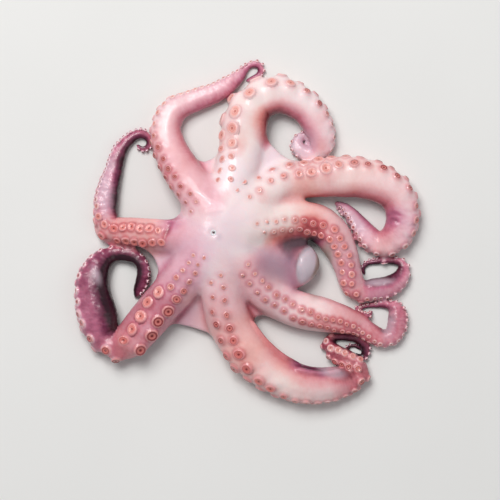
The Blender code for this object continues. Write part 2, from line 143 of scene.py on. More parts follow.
WEBS = [
    Web("top_left", "top", 76, 78, -7, 60, 14), Web("top", "upper_right", 92, 92, 56, 68, 15),
    Web("upper_right", "right", 84, 84, 74, 30, 20), Web("right", "lower_right", 84, 86, 67, -28, 24),
    Web("lower_right", "bottom", 88, 84, 33, -72, 9), Web("bottom", "lower_left", 96, 88, -20, -80, 7),
    Web("lower_left", "left", 76, 62, -45, -33, 20), Web("left", "top_left", 46, 62, -24, 16, 20),
]
WEB_THICKNESS = 6.0
WEB_STRETCHES = 6
WEB_BLEND = 7.0

# Ellipsoid: its middle, and its half sizes along X, Y and Z
Ellipsoid = namedtuple("Ellipsoid", "x y z half_x half_y half_z")

CROWN = Ellipsoid(2, -2, 33, 26, 25, 14)
HEAD = Ellipsoid(14, -10, 12, 40, 38, 26)
MANTLE = Ellipsoid(57, -27, 14, 36, 24, 18)

# Grid for the distance field, in the space where limbs are round, steps along an arm, the
# empty margin round everything, a distance that counts as far off, and a height above all
CELL = 1.5
STEP_ALONG = 3.0
MARGIN = 6.0
FAR = 60.0
SKY = 100.0

# Least values, so that nothing is divided by nothing
LEAST_SLOPE = 1e-6
LEAST_SIZE = 1e-3
LEAST_WEIGHT = 1e-9

# Cup: at a distance along an arm, the width of its suckers, how far apart they are in a row,
# how strong their colour is, how far they stand out of the skin as a share of their width, how
# far their dark rims have drawn together, how much more so in the right-hand row, which is
# painted shade on the row that faces away from the light, and how far they are pale with a
# maroon middle, as on the dark arm ends
Cup = namedtuple("Cup", "reach width pitch ripe stand drawn right dusk", defaults=(0.0, 0.0, 0.0))

CUPS = {
    "top_left": [
        Cup(20, 3.6, 9.5, 0.2, 0.12, 0.3), Cup(50, 4.8, 9.5, 0.6, 0.20, 0.8),
        Cup(80, 5.4, 9.5, 0.8, 0.26, 0.7), Cup(96, 5.0, 7.0, 0.3, 0.34), Cup(126, 4.8, 6.4, 0.1, 0.42),
        Cup(158, 4.4, 5.8, 0.1, 0.44, dusk=0.3), Cup(186, 3.2, 4.2, 0.1, 0.40, dusk=0.6),
        Cup(221, 2.3, 3.0, 0.1, 0.36, dusk=0.8),
    ],
    "top": [
        Cup(34, 4.4, 9.5, 0.2, 0.12, 0.3), Cup(66, 6.6, 11.5, 0.15, 0.18, 0.1),
        Cup(80, 9.8, 13.5, 0.15, 0.32), Cup(106, 10.8, 15.0, 0.15, 0.36),
        Cup(124, 9.6, 14.0, 0.15, 0.36), Cup(140, 7.6, 12, 0.2, 0.36, 0.2),
        Cup(158, 6.0, 10.5, 0.2, 0.38, 0.9), Cup(175, 5.2, 8.5, 0.1, 0.40, 0.4, dusk=0.2),
        Cup(205, 3.6, 5.0, 0.0, 0.40, dusk=0.6), Cup(235, 2.6, 3.2, 0.0, 0.38, dusk=0.7),
    ],
    "upper_right": [
        Cup(30, 4.0, 11, 0.2, 0.10), Cup(64, 5.4, 11.5, 0.4, 0.16, 0.2), Cup(88, 7.4, 12, 0.35, 0.22),
        Cup(102, 9.4, 12, 0.3, 0.24), Cup(122, 8.2, 11.5, 0.2, 0.26, 0.3),
        Cup(140, 6.8, 11.5, 0.3, 0.28, 1.0), Cup(175, 6.4, 10.5, 0.4, 0.32, 0.9),
        Cup(200, 6.2, 8.5, 0.4, 0.42, 0.3, dusk=0.2), Cup(226, 5.8, 7.4, 0.1, 0.52, dusk=0.5),
        Cup(245, 4.2, 5.4, 0.0, 0.46, dusk=0.7), Cup(276, 2.6, 3.4, 0.0, 0.40, dusk=0.9),
    ],
    "right": [
        Cup(30, 3.2, 8.0, 0.0, 0.10), Cup(56, 4.0, 8.5, 0.2, 0.12), Cup(76, 5.0, 8.8, 0.9, 0.24, 0.6),
        Cup(100, 5.6, 8.6, 0.8, 0.34), Cup(140, 5.2, 8.0, 0.6, 0.36), Cup(156, 4.8, 7.0, 0.7, 0.38),
        Cup(170, 3.8, 5.6, 0.0, 0.44, dusk=0.5), Cup(200, 3.4, 5.0, 0.0, 0.44, dusk=0.8),
        Cup(225, 2.8, 3.8, 0.0, 0.40, dusk=1.0), Cup(250, 2.4, 3.2, 0.0, 0.38, dusk=1.0),
    ],
    "lower_right": [
        Cup(30, 3.4, 9.3, 0.2, 0.12, 0.2), Cup(56, 3.7, 9.3, 0.2, 0.15, 0.5),
        Cup(84, 3.9, 8.6, 0.5, 0.22, 0.5), Cup(110, 4.2, 7.2, 0.7, 0.30, 0.3),
        Cup(132, 4.2, 6.2, 0.8, 0.36), Cup(160, 3.8, 5.6, 0.5, 0.40, dusk=0.2),
        Cup(178, 3.6, 4.8, 0.1, 0.46, dusk=0.5), Cup(200, 3.2, 4.2, 0.1, 0.46, dusk=0.7),
        Cup(225, 2.8, 3.6, 0.1, 0.40, dusk=0.7), Cup(255, 2.4, 3.2, 0.2, 0.38, dusk=0.6),
    ],
    "bottom": [
        Cup(28, 3.8, 11, 0.2, 0.12, 0.2), Cup(52, 4.6, 11.5, 0.4, 0.16, 0.6),
        Cup(70, 6.2, 11.5, 0.8, 0.20, 0.7), Cup(84, 8.4, 12, 1.0, 0.24, 0.4),
        Cup(104, 9.6, 12.5, 1.0, 0.26, 0.3), Cup(124, 9.0, 12, 0.9, 0.28), Cup(152, 7.0, 8.6, 0.6, 0.36),
        Cup(180, 5.8, 6.8, 0.3, 0.42, dusk=0.2), Cup(205, 6.2, 6.8, 0.5, 0.55, 0.9, -0.6),
        Cup(235, 5.8, 6.4, 0.3, 0.60, 0.9, -0.6), Cup(255, 4.6, 4.8, 0.1, 0.48, dusk=0.8),
        Cup(285, 3.2, 3.6, 0.0, 0.42, dusk=1.0), Cup(300, 2.5, 2.8, 0.0, 0.40, dusk=1.0),
        Cup(324, 2.3, 2.6, 0.0, 0.38, dusk=1.0),
    ],
    "lower_left": [
        Cup(13, 3.2, 7.5, 0.2, 0.10, 0.2), Cup(46, 5.4, 9.5, 0.6, 0.20, 0.6),
        Cup(58, 8.4, 12, 0.6, 0.28, 0.9, -0.8), Cup(70, 10.6, 13.4, 0.6, 0.34, 0.9, -0.9),
        Cup(106, 10.6, 13.4, 0.9, 0.40, 0.9, -0.8), Cup(128, 8.2, 11.5, 0.9, 0.50, 0.8, -0.1),
        Cup(150, 7.0, 10.2, 0.4, 0.50, 0.8, 0.0, 0.4), Cup(170, 6.0, 9.0, 0.2, 0.48, 0.6, 0.0, 0.6),
        Cup(190, 5.2, 7.6, 0.1, 0.46, 0.2, 0.0, 0.8), Cup(206, 4.4, 6.4, 0.0, 0.44, dusk=0.9),
        Cup(232, 3.9, 5.4, 0.0, 0.42, dusk=1.0), Cup(271, 3.0, 3.8, 0.0, 0.40, dusk=1.0),
    ],
    "left": [
        Cup(38, 6.2, 7.8, 0.7, 0.24), Cup(52, 7.4, 8.0, 0.9, 0.30), Cup(84, 7.4, 8.0, 0.9, 0.36),
        Cup(98, 6.2, 7.0, 0.6, 0.42, dusk=0.1), Cup(110, 5.2, 5.4, 0.2, 0.46, dusk=0.6),
        Cup(123, 4.4, 4.4, 0.0, 0.48, dusk=0.8), Cup(140, 4.0, 4.0, 0.0, 0.48, dusk=1.0),
        Cup(170, 3.0, 3.2, 0.0, 0.44, dusk=1.0), Cup(206, 2.4, 2.8, 0.0, 0.40, dusk=1.0),
    ],
}

# Where the rows run on an arm: how far apart, as shares of a cup's width and then of the arm's
# half width, how unevenly, in shares and degrees, and how much of the arm's end is bare
ROW_SPREAD = 0.70
LEAST_SPREAD = 0.28
MOST_SPREAD = 0.60
UNEVEN_WIDTH = 0.12
UNEVEN_PLACE = 0.08
UNEVEN_TURN = 4.0
BARE_TIP = 0.8

# Which cups are left out: those that other flesh or the ground would cover
FARTHEST_HIT = 1.3
RAY_START = 0.4
CUP_RADIUS = 0.56
CUP_HEIGHT = 0.4
GROUND_GAP = 0.15

# How tall a cup is, over its usual height, when it lies flat, and how much more as it stands out
FLAT_CUP = 0.7
TALLER_CUP = 1.2

# Cups narrower than this are beads
SMALL_CUP = 3.3

# Cups narrower than this, or that stand out less, have no mound
SMALL_MOUND = 3.0
LOW_MOUND = 0.15

# A mound is broad under a flat cup and narrows as the cup stands out: its half width and its
# depth are shares of the cup's width. It is loose where the cups' pitch is so many widths.
BROAD_MOUND = 1.30
NARROW_MOUND = 0.66
MOUND_NARROWS = 1.7
MOUND_DEPTH = 0.10
LOOSE_PITCH = 1.5

# How a cup sits on its mound, by shares of its width, how far its root reaches, by its depth,
# how far that sinks into the skin, and how much the cups lean and differ
CUP_RISE = 0.07
SEAT_REACH = 3
SEAT_RAYS = 8
SEAT_RADIUS = 0.45
ROOT_END = 0.30
ROOT_SINK = 0.12
CUP_LEAN = math.radians(7)
CUP_UNEVENNESS = 0.16
CUP_SEED = 7

# How much suckers differ in how ripe and how drawn they are, and how quickly with place
UNEVEN_RIPE = 0.25
RIPE_CHANGE = 0.9
UNEVEN_DRAWN = 0.6
DRAWN_CHANGE = 1.3

# Tint: at a distance along an arm, its pigment from 0 to 1 on the side of the suckers, how
# much more it has on its back, which is partly the back's own darker pigment and partly painted
# shade on the flanks that face away from the light and down, how warm the pigment is, from 0
# for mauve to 1 for coral, how deep its cross wrinkles are in millimetres, and how flushed the
# skin round its suckers is
Tint = namedtuple("Tint", "reach front back warmth wrinkle flush")

TINTS = {
    "top_left": [
        Tint(0, 0.04, 0.08, 0.3, 0.0, 0.4), Tint(40, 0.17, 0.12, 0.4, 0.0, 0.9),
        Tint(60, 0.22, 0.34, 0.5, 0.05, 1.5), Tint(82, 0.16, 0.36, 0.5, 0.05, 1.3),
        Tint(100, 0.06, 0.36, 0.4, 0.05, 0.6), Tint(130, 0.07, 0.34, 0.2, 0.15, 0.3),
        Tint(160, 0.12, 0.30, 0.2, 0.25, 0.3), Tint(178, 0.18, 0.30, 0.1, 0.3, 0.2),
        Tint(195, 0.28, 0.40, 0.0, 0.2, 0.2), Tint(221, 0.30, 0.40, 0.0, 0.2, 0.2),
    ],
    "top": [
        Tint(0, 0.0, 0.08, 0.4, 0.0, 0.2), Tint(52, 0.0, 0.14, 0.4, 0.0, 0.3),
        Tint(76, 0.04, 0.70, 0.8, 0.05, 0.5), Tint(110, 0.0, 0.80, 0.7, 0.05, 0.5),
        Tint(160, 0.02, 0.55, 0.4, 0.05, 0.7), Tint(190, 0.04, 0.30, 0.1, 0.1, 0.4),
        Tint(205, 0.04, 0.20, 0.0, 0.1, 0.2), Tint(235, 0.10, 0.20, 0.0, 0.2, 0.1),
    ],
    "upper_right": [
        Tint(0, 0.0, 0.30, 0.3, 0.0, 0.3), Tint(60, 0.04, 0.45, 0.7, 0.0, 1.0),
        Tint(80, 0.09, 0.50, 0.7, 0.05, 0.9), Tint(130, 0.07, 0.52, 0.8, 0.05, 0.6),
        Tint(175, 0.09, 0.45, 0.5, 0.1, 0.9), Tint(195, 0.12, 0.35, 0.1, 0.3, 0.9),
        Tint(225, 0.14, 0.24, 0.5, 0.1, 1.0), Tint(250, 0.24, 0.35, 0.0, 0.2, 0.2),
        Tint(276, 0.36, 0.40, 0.0, 0.2, 0.1),
    ],
    "right": [
        Tint(0, 0.0, 0.35, 0.4, 0.0, 0.2), Tint(56, 0.0, 0.65, 0.9, 0.0, 0.8),
        Tint(74, 0.10, 0.60, 0.9, 0.05, 1.8), Tint(98, 0.16, 0.50, 0.6, 0.05, 1.7),
        Tint(118, 0.12, 0.50, 0.3, 0.05, 1.1), Tint(140, 0.18, 0.50, 0.3, 0.1, 1.2),
        Tint(156, 0.28, 0.60, 0.5, 0.2, 1.2), Tint(166, 0.32, 0.60, 0.1, 0.2, 0.3),
        Tint(200, 0.28, 0.56, 0.1, 0.3, 0.2), Tint(225, 0.50, 0.50, 0.0, 0.2, 0.1),
        Tint(250, 0.60, 0.40, 0.0, 0.2, 0.1),
    ],
    "lower_right": [
        Tint(0, 0.08, 0.40, 0.4, 0.0, 0.4), Tint(40, 0.19, 0.38, 0.4, 0.0, 0.9),
        Tint(84, 0.06, 0.45, 0.4, 0.05, 1.7), Tint(110, 0.05, 0.42, 0.6, 0.05, 2.0),
        Tint(135, 0.25, 0.36, 0.6, 0.1, 1.9), Tint(160, 0.32, 0.26, 0.5, 0.2, 1.0),
        Tint(178, 0.31, 0.16, 0.3, 0.3, 0.6), Tint(203, 0.39, 0.16, 0.3, 0.4, 0.5),
        Tint(218, 0.34, 0.50, 0.0, 0.3, 0.2), Tint(255, 0.50, 0.40, 0.2, 0.2, 0.2),
    ],
    "bottom": [
        Tint(0, 0.04, 0.35, 0.3, 0.0, 0.4), Tint(45, 0.14, 0.45, 0.4, 0.0, 0.5),
        Tint(75, 0.21, 0.48, 0.8, 0.05, 0.9), Tint(100, 0.14, 0.46, 0.9, 0.05, 1.0),
        Tint(140, 0.08, 0.44, 0.7, 0.05, 0.6), Tint(180, 0.07, 0.38, 0.6, 0.1, 0.8),
        Tint(200, 0.46, 0.44, 0.6, 0.2, 1.2), Tint(240, 0.60, 0.50, 0.5, 0.3, 1.0),
        Tint(262, 0.74, 0.40, 0.1, 0.2, 0.3), Tint(324, 0.80, 0.30, 0.1, 0.2, 0.2),
    ],
    "lower_left": [
        Tint(0, 0.12, 0.30, 0.1, 0.0, 0.3), Tint(45, 0.24, 0.36, 0.1, 0.05, 0.8),
        Tint(70, 0.37, 0.34, 0.25, 0.05, 1.7), Tint(100, 0.36, 0.38, 0.35, 0.1, 1.8),
        Tint(118, 0.38, 0.50, 0.6, 0.1, 1.2), Tint(135, 0.50, 0.60, 0.1, 0.3, 0.2),
        Tint(170, 0.50, 0.80, 0.0, 0.3, 0.1), Tint(205, 0.60, 0.70, 0.0, 0.3, 0.1),
        Tint(270, 0.66, 0.50, 0.1, 0.2, 0.1),
    ],
    "left": [
        Tint(0, 0.12, 0.25, 0.1, 0.0, 0.3), Tint(33, 0.24, 0.30, 0.2, 0.0, 0.5),
        Tint(48, 0.21, 0.44, 0.9, 0.05, 1.6), Tint(88, 0.24, 0.60, 0.7, 0.1, 1.6),
        Tint(104, 0.20, 0.80, 0.0, 0.45, 0.4), Tint(125, 0.18, 0.80, 0.0, 0.55, 0.1),
        Tint(145, 0.40, 0.50, 0.0, 0.35, 0.1), Tint(205, 0.50, 0.40, 0.0, 0.2, 0.1),
    ],
}

# Blotch: a soft patch by its middle in plan and its spread, with what it adds to the
# pigment and to the pigment's warmth. Most are the skin's own mottling, but some are painted
# shadow, painted shade or painted light, as marked below
Blotch = namedtuple("Blotch", "x y spread pigment warmth")

BLOTCHES_AND_PAINTED_LIGHT = [
    # The pale ones at (20, 2) and (38, 12) are partly the crown's own paleness and partly painted light
    # on it
    Blotch(2, 28, 14, 0.17, -0.1), Blotch(20, 2, 20, -0.25, -0.1), Blotch(38, 12, 18, -0.25, -0.1),
    Blotch(42, 27, 9, 0.18, 0.2), Blotch(15, 52, 12, -0.13, -0.9), Blotch(25, 72, 9, 0.13, 0.2),
    Blotch(42, 99, 10, 0.08, 0.3), Blotch(42, 115, 8, -0.07, 0.0), Blotch(93, 99, 8, 0.08, 0.2),
    # Those from (52, -6) to (88, -7), with (66, -3) and (66, -14), are painted shadow under the
    # overhanging root of the right arm; those at (67, -22), (67, -36) and (72, -46) are painted shade in
    # the hollow beside the mantle
    Blotch(95, 77, 7, 0.12, 0.5), Blotch(46, 64, 15, -0.55, -0.8), Blotch(88, -7, 8, 0.70, -0.6),
    Blotch(74, -8, 8, 0.75, -0.3), Blotch(62, -10, 8, 0.50, -0.1), Blotch(52, -6, 10, 0.34, 0.5),
    Blotch(66, -3, 5, 0.25, 0.2), Blotch(80, -7, 6, 0.35, -0.1), Blotch(66, -14, 9, 0.22, -0.2),
    Blotch(86, 6, 8, 0.74, 0.4), Blotch(46, -24, 12, 0.12, -0.3), Blotch(67, -22, 8, 0.40, -0.5),
    Blotch(67, -36, 8, 0.30, -0.2), Blotch(72, -46, 7, 0.26, -0.3), Blotch(80, 38, 10, 0.16, 0.6),
    Blotch(111, 37, 9, -0.12, 0.0), Blotch(102, 46, 8, 0.08, 0.0), Blotch(122, -33, 8, 0.10, -0.1),
    Blotch(160, 14, 7, 0.10, -0.6), Blotch(-17, 0, 9, 0.05, 0.2), Blotch(-8, -30, 12, -0.06, -0.2),
    Blotch(62, -128, 14, -0.08, 0.2), Blotch(31, -110, 12, 0.10, 0.2), Blotch(74, -114, 7, 0.10, -0.8),
    Blotch(85, -117, 6, 0.17, -0.9), Blotch(95, -120, 6, 0.16, -0.8), Blotch(-21, -59, 8, -0.12, 0.3),
    Blotch(-30, -22, 9, -0.05, -0.3), Blotch(-22, -18, 14, 0.06, -0.2), Blotch(-36, 10, 8, 0.14, -0.3),
]

# Patch: an oval with a hue of its own, by its middle, half sizes, turn in degrees and how
# wide its soft edge is as a share
Patch = namedtuple("Patch", "x y half_x half_y turn soft")

# The bare end of the mantle that shows past the web, painted shade on its far side from the
# light, bluish thin skin, and stretches of an arm that are pale lilac, partly with painted sheen,
# with a painted shadow beside the mouth
BARE = [Patch(81, -28, 8.0, 17.0, -14, 0.14)]
PAINTED_MANTLE_SHADE = [Patch(94, -33, 7.5, 22.0, -14, 0.45)]
VEILS = [Patch(54, -29, 15, 13, 0, 0.7)]
LILAC_PAINTED_SHEEN_AND_SHADE = [
    # Pale lilac skin; on the lower_left arm's loop, the left arm's upright stretch and the bottom arm's
    # fold it is partly painted sheen, and the small patch beside the mouth is painted shadow
    Patch(-103, -37, 3, 7, 20, 0.95), Patch(-96, 37, 6, 20, 4, 0.7), Patch(-92, 60, 4, 8, -12, 0.7),
    Patch(77, 79, 11, 12, 0, 0.5), Patch(4.5, -3.5, 3, 3, 0, 0.8), Patch(122, 12, 6, 17, 42, 0.6),
    Patch(104, -122, 11, 5, -14, 0.5), Patch(154, -81, 5, 11, -12, 0.7), Patch(145, -43, 12, 3, 4, 0.6),
]

# Groove: a short crease between two places in plan, its depth and its width
Groove = namedtuple("Groove", "x1 y1 x2 y2 depth width")

GROOVES = [
    Groove(-38.0, 7.5, -43.5, -5.5, 1.6, 2.6), Groove(85, -13, 76, -20, 1.4, 2.0),
    Groove(76, -20, 73.5, -29, 1.6, 2.4), Groove(73.5, -29, 77, -42, 1.6, 2.4),
    Groove(158, 18, 166, 15, 0.6, 1.6), Groove(156, 12, 164, 9, 0.6, 1.6),
    Groove(148, -74, 158, -76, 1.0, 2.0), Groove(146, -84, 154, -88, 0.9, 2.0),
    Groove(66, -111, 99, -118.5, 0.9, 1.3), Groove(72, -116, 100, -121.5, 0.9, 1.3),
]

# Where on a half wave a crease's depth starts, and as far from its end where it stops
GROOVE_END = 0.15

# Ridge: a thin fold of skin along an arm, between two reaches, at an angle from straight up
# in degrees, positive to the left, and its thickness
Ridge = namedtuple("Ridge", "arm start end angle thickness")

RIDGES = [
    Ridge("bottom", 80, 150, 62, 3.0), Ridge("bottom", 148, 196, 40, 3.6),
    Ridge("left", 20, 84, -56, 2.8), Ridge("left", 64, 94, 118, 6.0),
]

# How far a ridge's middle stands out, as a share of its thickness, and how softly it starts
RIDGE_RISE = 0.12
RIDGE_BLEND = 1.5

# Relief of the skin in millimetres: the size of its lumps and how far they stand out, on an
# arm's back and, as a share of that, on its front
LUMPS = ((28.0, 0.85), (11.0, 0.40), (4.2, 0.16))
FRONT_LUMPS = 0.55

# Folds across the inner side of a bend, from a slight one to a tight one, as the arm's half
# width over the bend's radius, and where that side starts and is full
FOLD_PITCH = 3.6
FOLD_DEPTH = 0.55
SLIGHT_BEND = 0.25
TIGHT_BEND = 0.75
INNER_START = 0.2
INNER_FULL = 0.9

# Relief fades near the ground, and creases fade where the skin is steep
RELIEF_START = 0.05
RELIEF_FULL = 2.0
STEEP = 0.1
LEVEL = 0.5

# How long and how broad a wrinkle across an arm is, and how narrow its crease
WRINKLE_LENGTH = 2.4
WRINKLE_BREADTH = 9.0
WRINKLE_SHARPNESS = 3.0

# How far one arm's colours reach past its skin, how far folds and wrinkles do, and where its
# front turns into its back
COLOUR_REACH = 2.5
FOLD_REACH = 1.5
FRONT_END = -0.55
BACK_START = 0.85

# How far from the arms a web begins and is full, its pigment and how much of that is its own,
# and how much of its own hue is lost as the pigment goes from pale to dark
WEB_START = 1.0
WEB_FULL = 8.0
WEB_PIGMENT = 0.12
WEB_SHARE = 0.85
WEB_LOSS = 0.7
PALE_PIGMENT = 0.35
DARK_PIGMENT = 0.85

# From how far under a sucker's rim to how far round it the skin is flushed, and the painted
# shade at its foot, from where it begins and is full to where it fades and ends, and how dark
UNDER_RIM = -1.0
FLUSH_REACH = 5.0
FOOT_FULL = 0.4
FOOT_FADES = 1.0
FOOT_REACH = 3.2
FOOT_SHADE = 0.10

# Tall suckers' mounds are paler: out to a share of the sucker's width, from a low stand to a
# tall one, by how much, and from little pigment to much
CONE_REACH = 0.35
LOW_STAND = 0.34
TALL_STAND = 0.50
CONE_PALENESS = 0.5
LITTLE_PIGMENT = 0.10
MUCH_PIGMENT = 0.60

# The mouth: the lips' ring, their folds, and the dip that they lie in
LIP_RADIUS = 1.95
LIP_THICKNESS = 0.65
LIP_HEIGHT = 0.8
LIP_FOLDS = 14
LIP_PUCKER = 0.16
LIP_LOOPS = 84
LIP_SIDES = 12
LIP_RISE = 0.5
MOUTH_DIP = 1.4
MOUTH_DIP_WIDTH = 3.25

# The beak's two blades: the way each leans from, its reach, its half width and its height.
# Their loops narrow to a hooked tip, and are thinner than broad.
Blade = namedtuple("Blade", "heading long wide tall")

BLADES = [Blade(0.0, 1.3, 1.5, 1.0), Blade(math.pi, 1.1, 1.1, 0.7)]
BLADE_LOOPS = 7
BLADE_SIDES = 8
BLADE_TAPER = 0.7
BLADE_TIP = 0.02
BLADE_HOOK = 0.25
BLADE_ROOT = 0.6
BLADE_THICK = 0.6
BLADE_BROAD = 0.8
BEAK_RISE = 0.4

# Camera and floor, in metres
FLOOR_WIDTH = 12.0
VIEW_X = 0.0317
VIEW_Y = -0.0150
VIEW_Z = 0.015
VIEW_WIDTH = 0.440
VIEW_DISTANCE = 2.2
SENSOR = 36.0

# Light: a soft square one, with its place and size in metres, its power and its colour.
# The key light and its glint come from the top left, a weaker one from the right.
Light = namedtuple("Light", "name place size watts colour")

LIGHTS = [
    Light("key", (-0.70, 1.35, 2.50), 1.6, 69.0, (1.0, 0.985, 0.97)),
    Light("glint", (-0.30, 1.10, 2.20), 0.15, 3.5, (1.0, 1.0, 1.0)),
    Light("fill", (1.6, -0.4, 1.8), 1.6, 5.0, (1.0, 0.98, 0.97)),
]
SKY_STRENGTH = 0.30


def smoothstep(low, high, value):
    """Goes from 0 at low to 1 at high, level at both ends."""
    share = np.clip((value - low) / (high - low), 0.0, 1.0)
    return share * share * (3.0 - 2.0 * share)


def lift_at(x, y):
    """Height that the crown gives an arm's underside at a place in plan."""
    return CROWN_LIFT * (1.0 - smoothstep(LIFT_FROM, LIFT_TO, np.hypot(x, y)))


def blend_at(x, y):
    """How softly forms meet at a place in plan."""
    near = 1.0 - smoothstep(BLEND_FROM, BLEND_TO, np.hypot(x, y))
    return BLEND_FAR + (BLEND_NEAR - BLEND_FAR) * near


def spline(points, step):
    """Points about a step apart on a smooth curve through rows of numbers, place first."""
    points = np.asarray(points, dtype=float)
    padded = np.vstack([2 * points[0] - points[1], points, 2 * points[-1] - points[-2]])
    rows = []
    for before, start, end, after in zip(padded, padded[1:], padded[2:], padded[3:]):
        count = max(2, round(np.linalg.norm(end[:2] - start[:2]) / step))
        for t in np.linspace(0.0, 1.0, count, endpoint=False):
            rows.append(0.5 * (2 * start + (end - before) * t
                               + (2 * before - 5 * start + 4 * end - after) * t ** 2
                               + (3 * start - before - 3 * end + after) * t ** 3))
    rows.append(points[-1])
    return np.array(rows)


def rounded(place):
    """The same place in the space where limbs are round: heights grow."""
    return np.array([place[0], place[1], place[2] / FLATNESS])


class Arm:
    """One arm's route: its middles, half widths and turns, and the distance along it."""

    def __init__(self, name):
        rows = spline([tuple(station) for station in ARMS[name]], STEP_ALONG)
        x, y, width, turn, rest = rows.T
        height = lift_at(x, y) + rest + width * FLATNESS * (0.5 - PRESS)
        self.name = name
        self.middles = np.column_stack([x, y, height])
        self.half = width / 2
        self.turn = turn
        steps = np.linalg.norm(np.diff(rows[:, :2], axis=0), axis=1)
        self.along = np.concatenate([[0.0], np.cumsum(steps)])
        ahead = np.gradient(self.middles[:, :2], axis=0)
        self.ahead = ahead / np.linalg.norm(ahead, axis=1)[:, None]
        self.left = np.column_stack([-self.ahead[:, 1], self.ahead[:, 0]])
        self.bend = np.gradient(np.unwrap(np.arctan2(ahead[:, 1], ahead[:, 0])), self.along)
        self.seed = 10.0 * list(ARMS).index(name)

    def at(self, reach, values):
        """Values of the route at a distance along it."""
        if values.ndim == 1:
            return np.interp(reach, self.along, values)
        return np.array([np.interp(reach, self.along, column) for column in values.T])

    def outward(self, reach, extra=0.0):
        """The way that the sucker rows face, turned by some more degrees to the left."""
        turn = math.radians(self.at(reach, self.turn) + extra)
        left = self.at(reach, self.left)
        way = Vector((left[0] * math.sin(turn), left[1] * math.sin(turn), FLATNESS * math.cos(turn)))
        return way.normalized()


def distance_to_bar(start, end, thick, thin, x, y, z):
    """How far places are outside a straight round bar, from its half width at each end."""
    along = end - start
    share = (x - start[0]) * along[0] + (y - start[1]) * along[1] + (z - start[2]) * along[2]
    share = np.clip(share / (along @ along), 0.0, 1.0)
    away = np.sqrt((x - start[0] - share * along[0]) ** 2
                   + (y - start[1] - share * along[1]) ** 2
                   + (z - start[2] - share * along[2]) ** 2)
    return away - thick - share * (thin - thick)


def distance_to_triangle(corners, x, y, z):
    """How far places are from a flat triangle."""
    normal = np.cross(corners[1] - corners[0], corners[2] - corners[0])
    normal /= np.linalg.norm(normal)
    inside = True
    to_edges = FAR
    for start, end in zip(corners, corners[1:] + corners[:1]):
        edge = end - start
        across = np.cross(normal, edge)
        off = (x - start[0], y - start[1], z - start[2])
        share = (off[0] * edge[0] + off[1] * edge[1] + off[2] * edge[2]) / (edge @ edge)
        share = np.clip(share, 0.0, 1.0)
        away = sum((off[i] - share * edge[i]) ** 2 for i in range(3))
        to_edges = np.minimum(to_edges, np.sqrt(away))
        inside = inside & (off[0] * across[0] + off[1] * across[1] + off[2] * across[2] > 0)
    off = (x - corners[0][0], y - corners[0][1], z - corners[0][2])
    level = abs(off[0] * normal[0] + off[1] * normal[1] + off[2] * normal[2])
    return np.where(inside, level, to_edges)


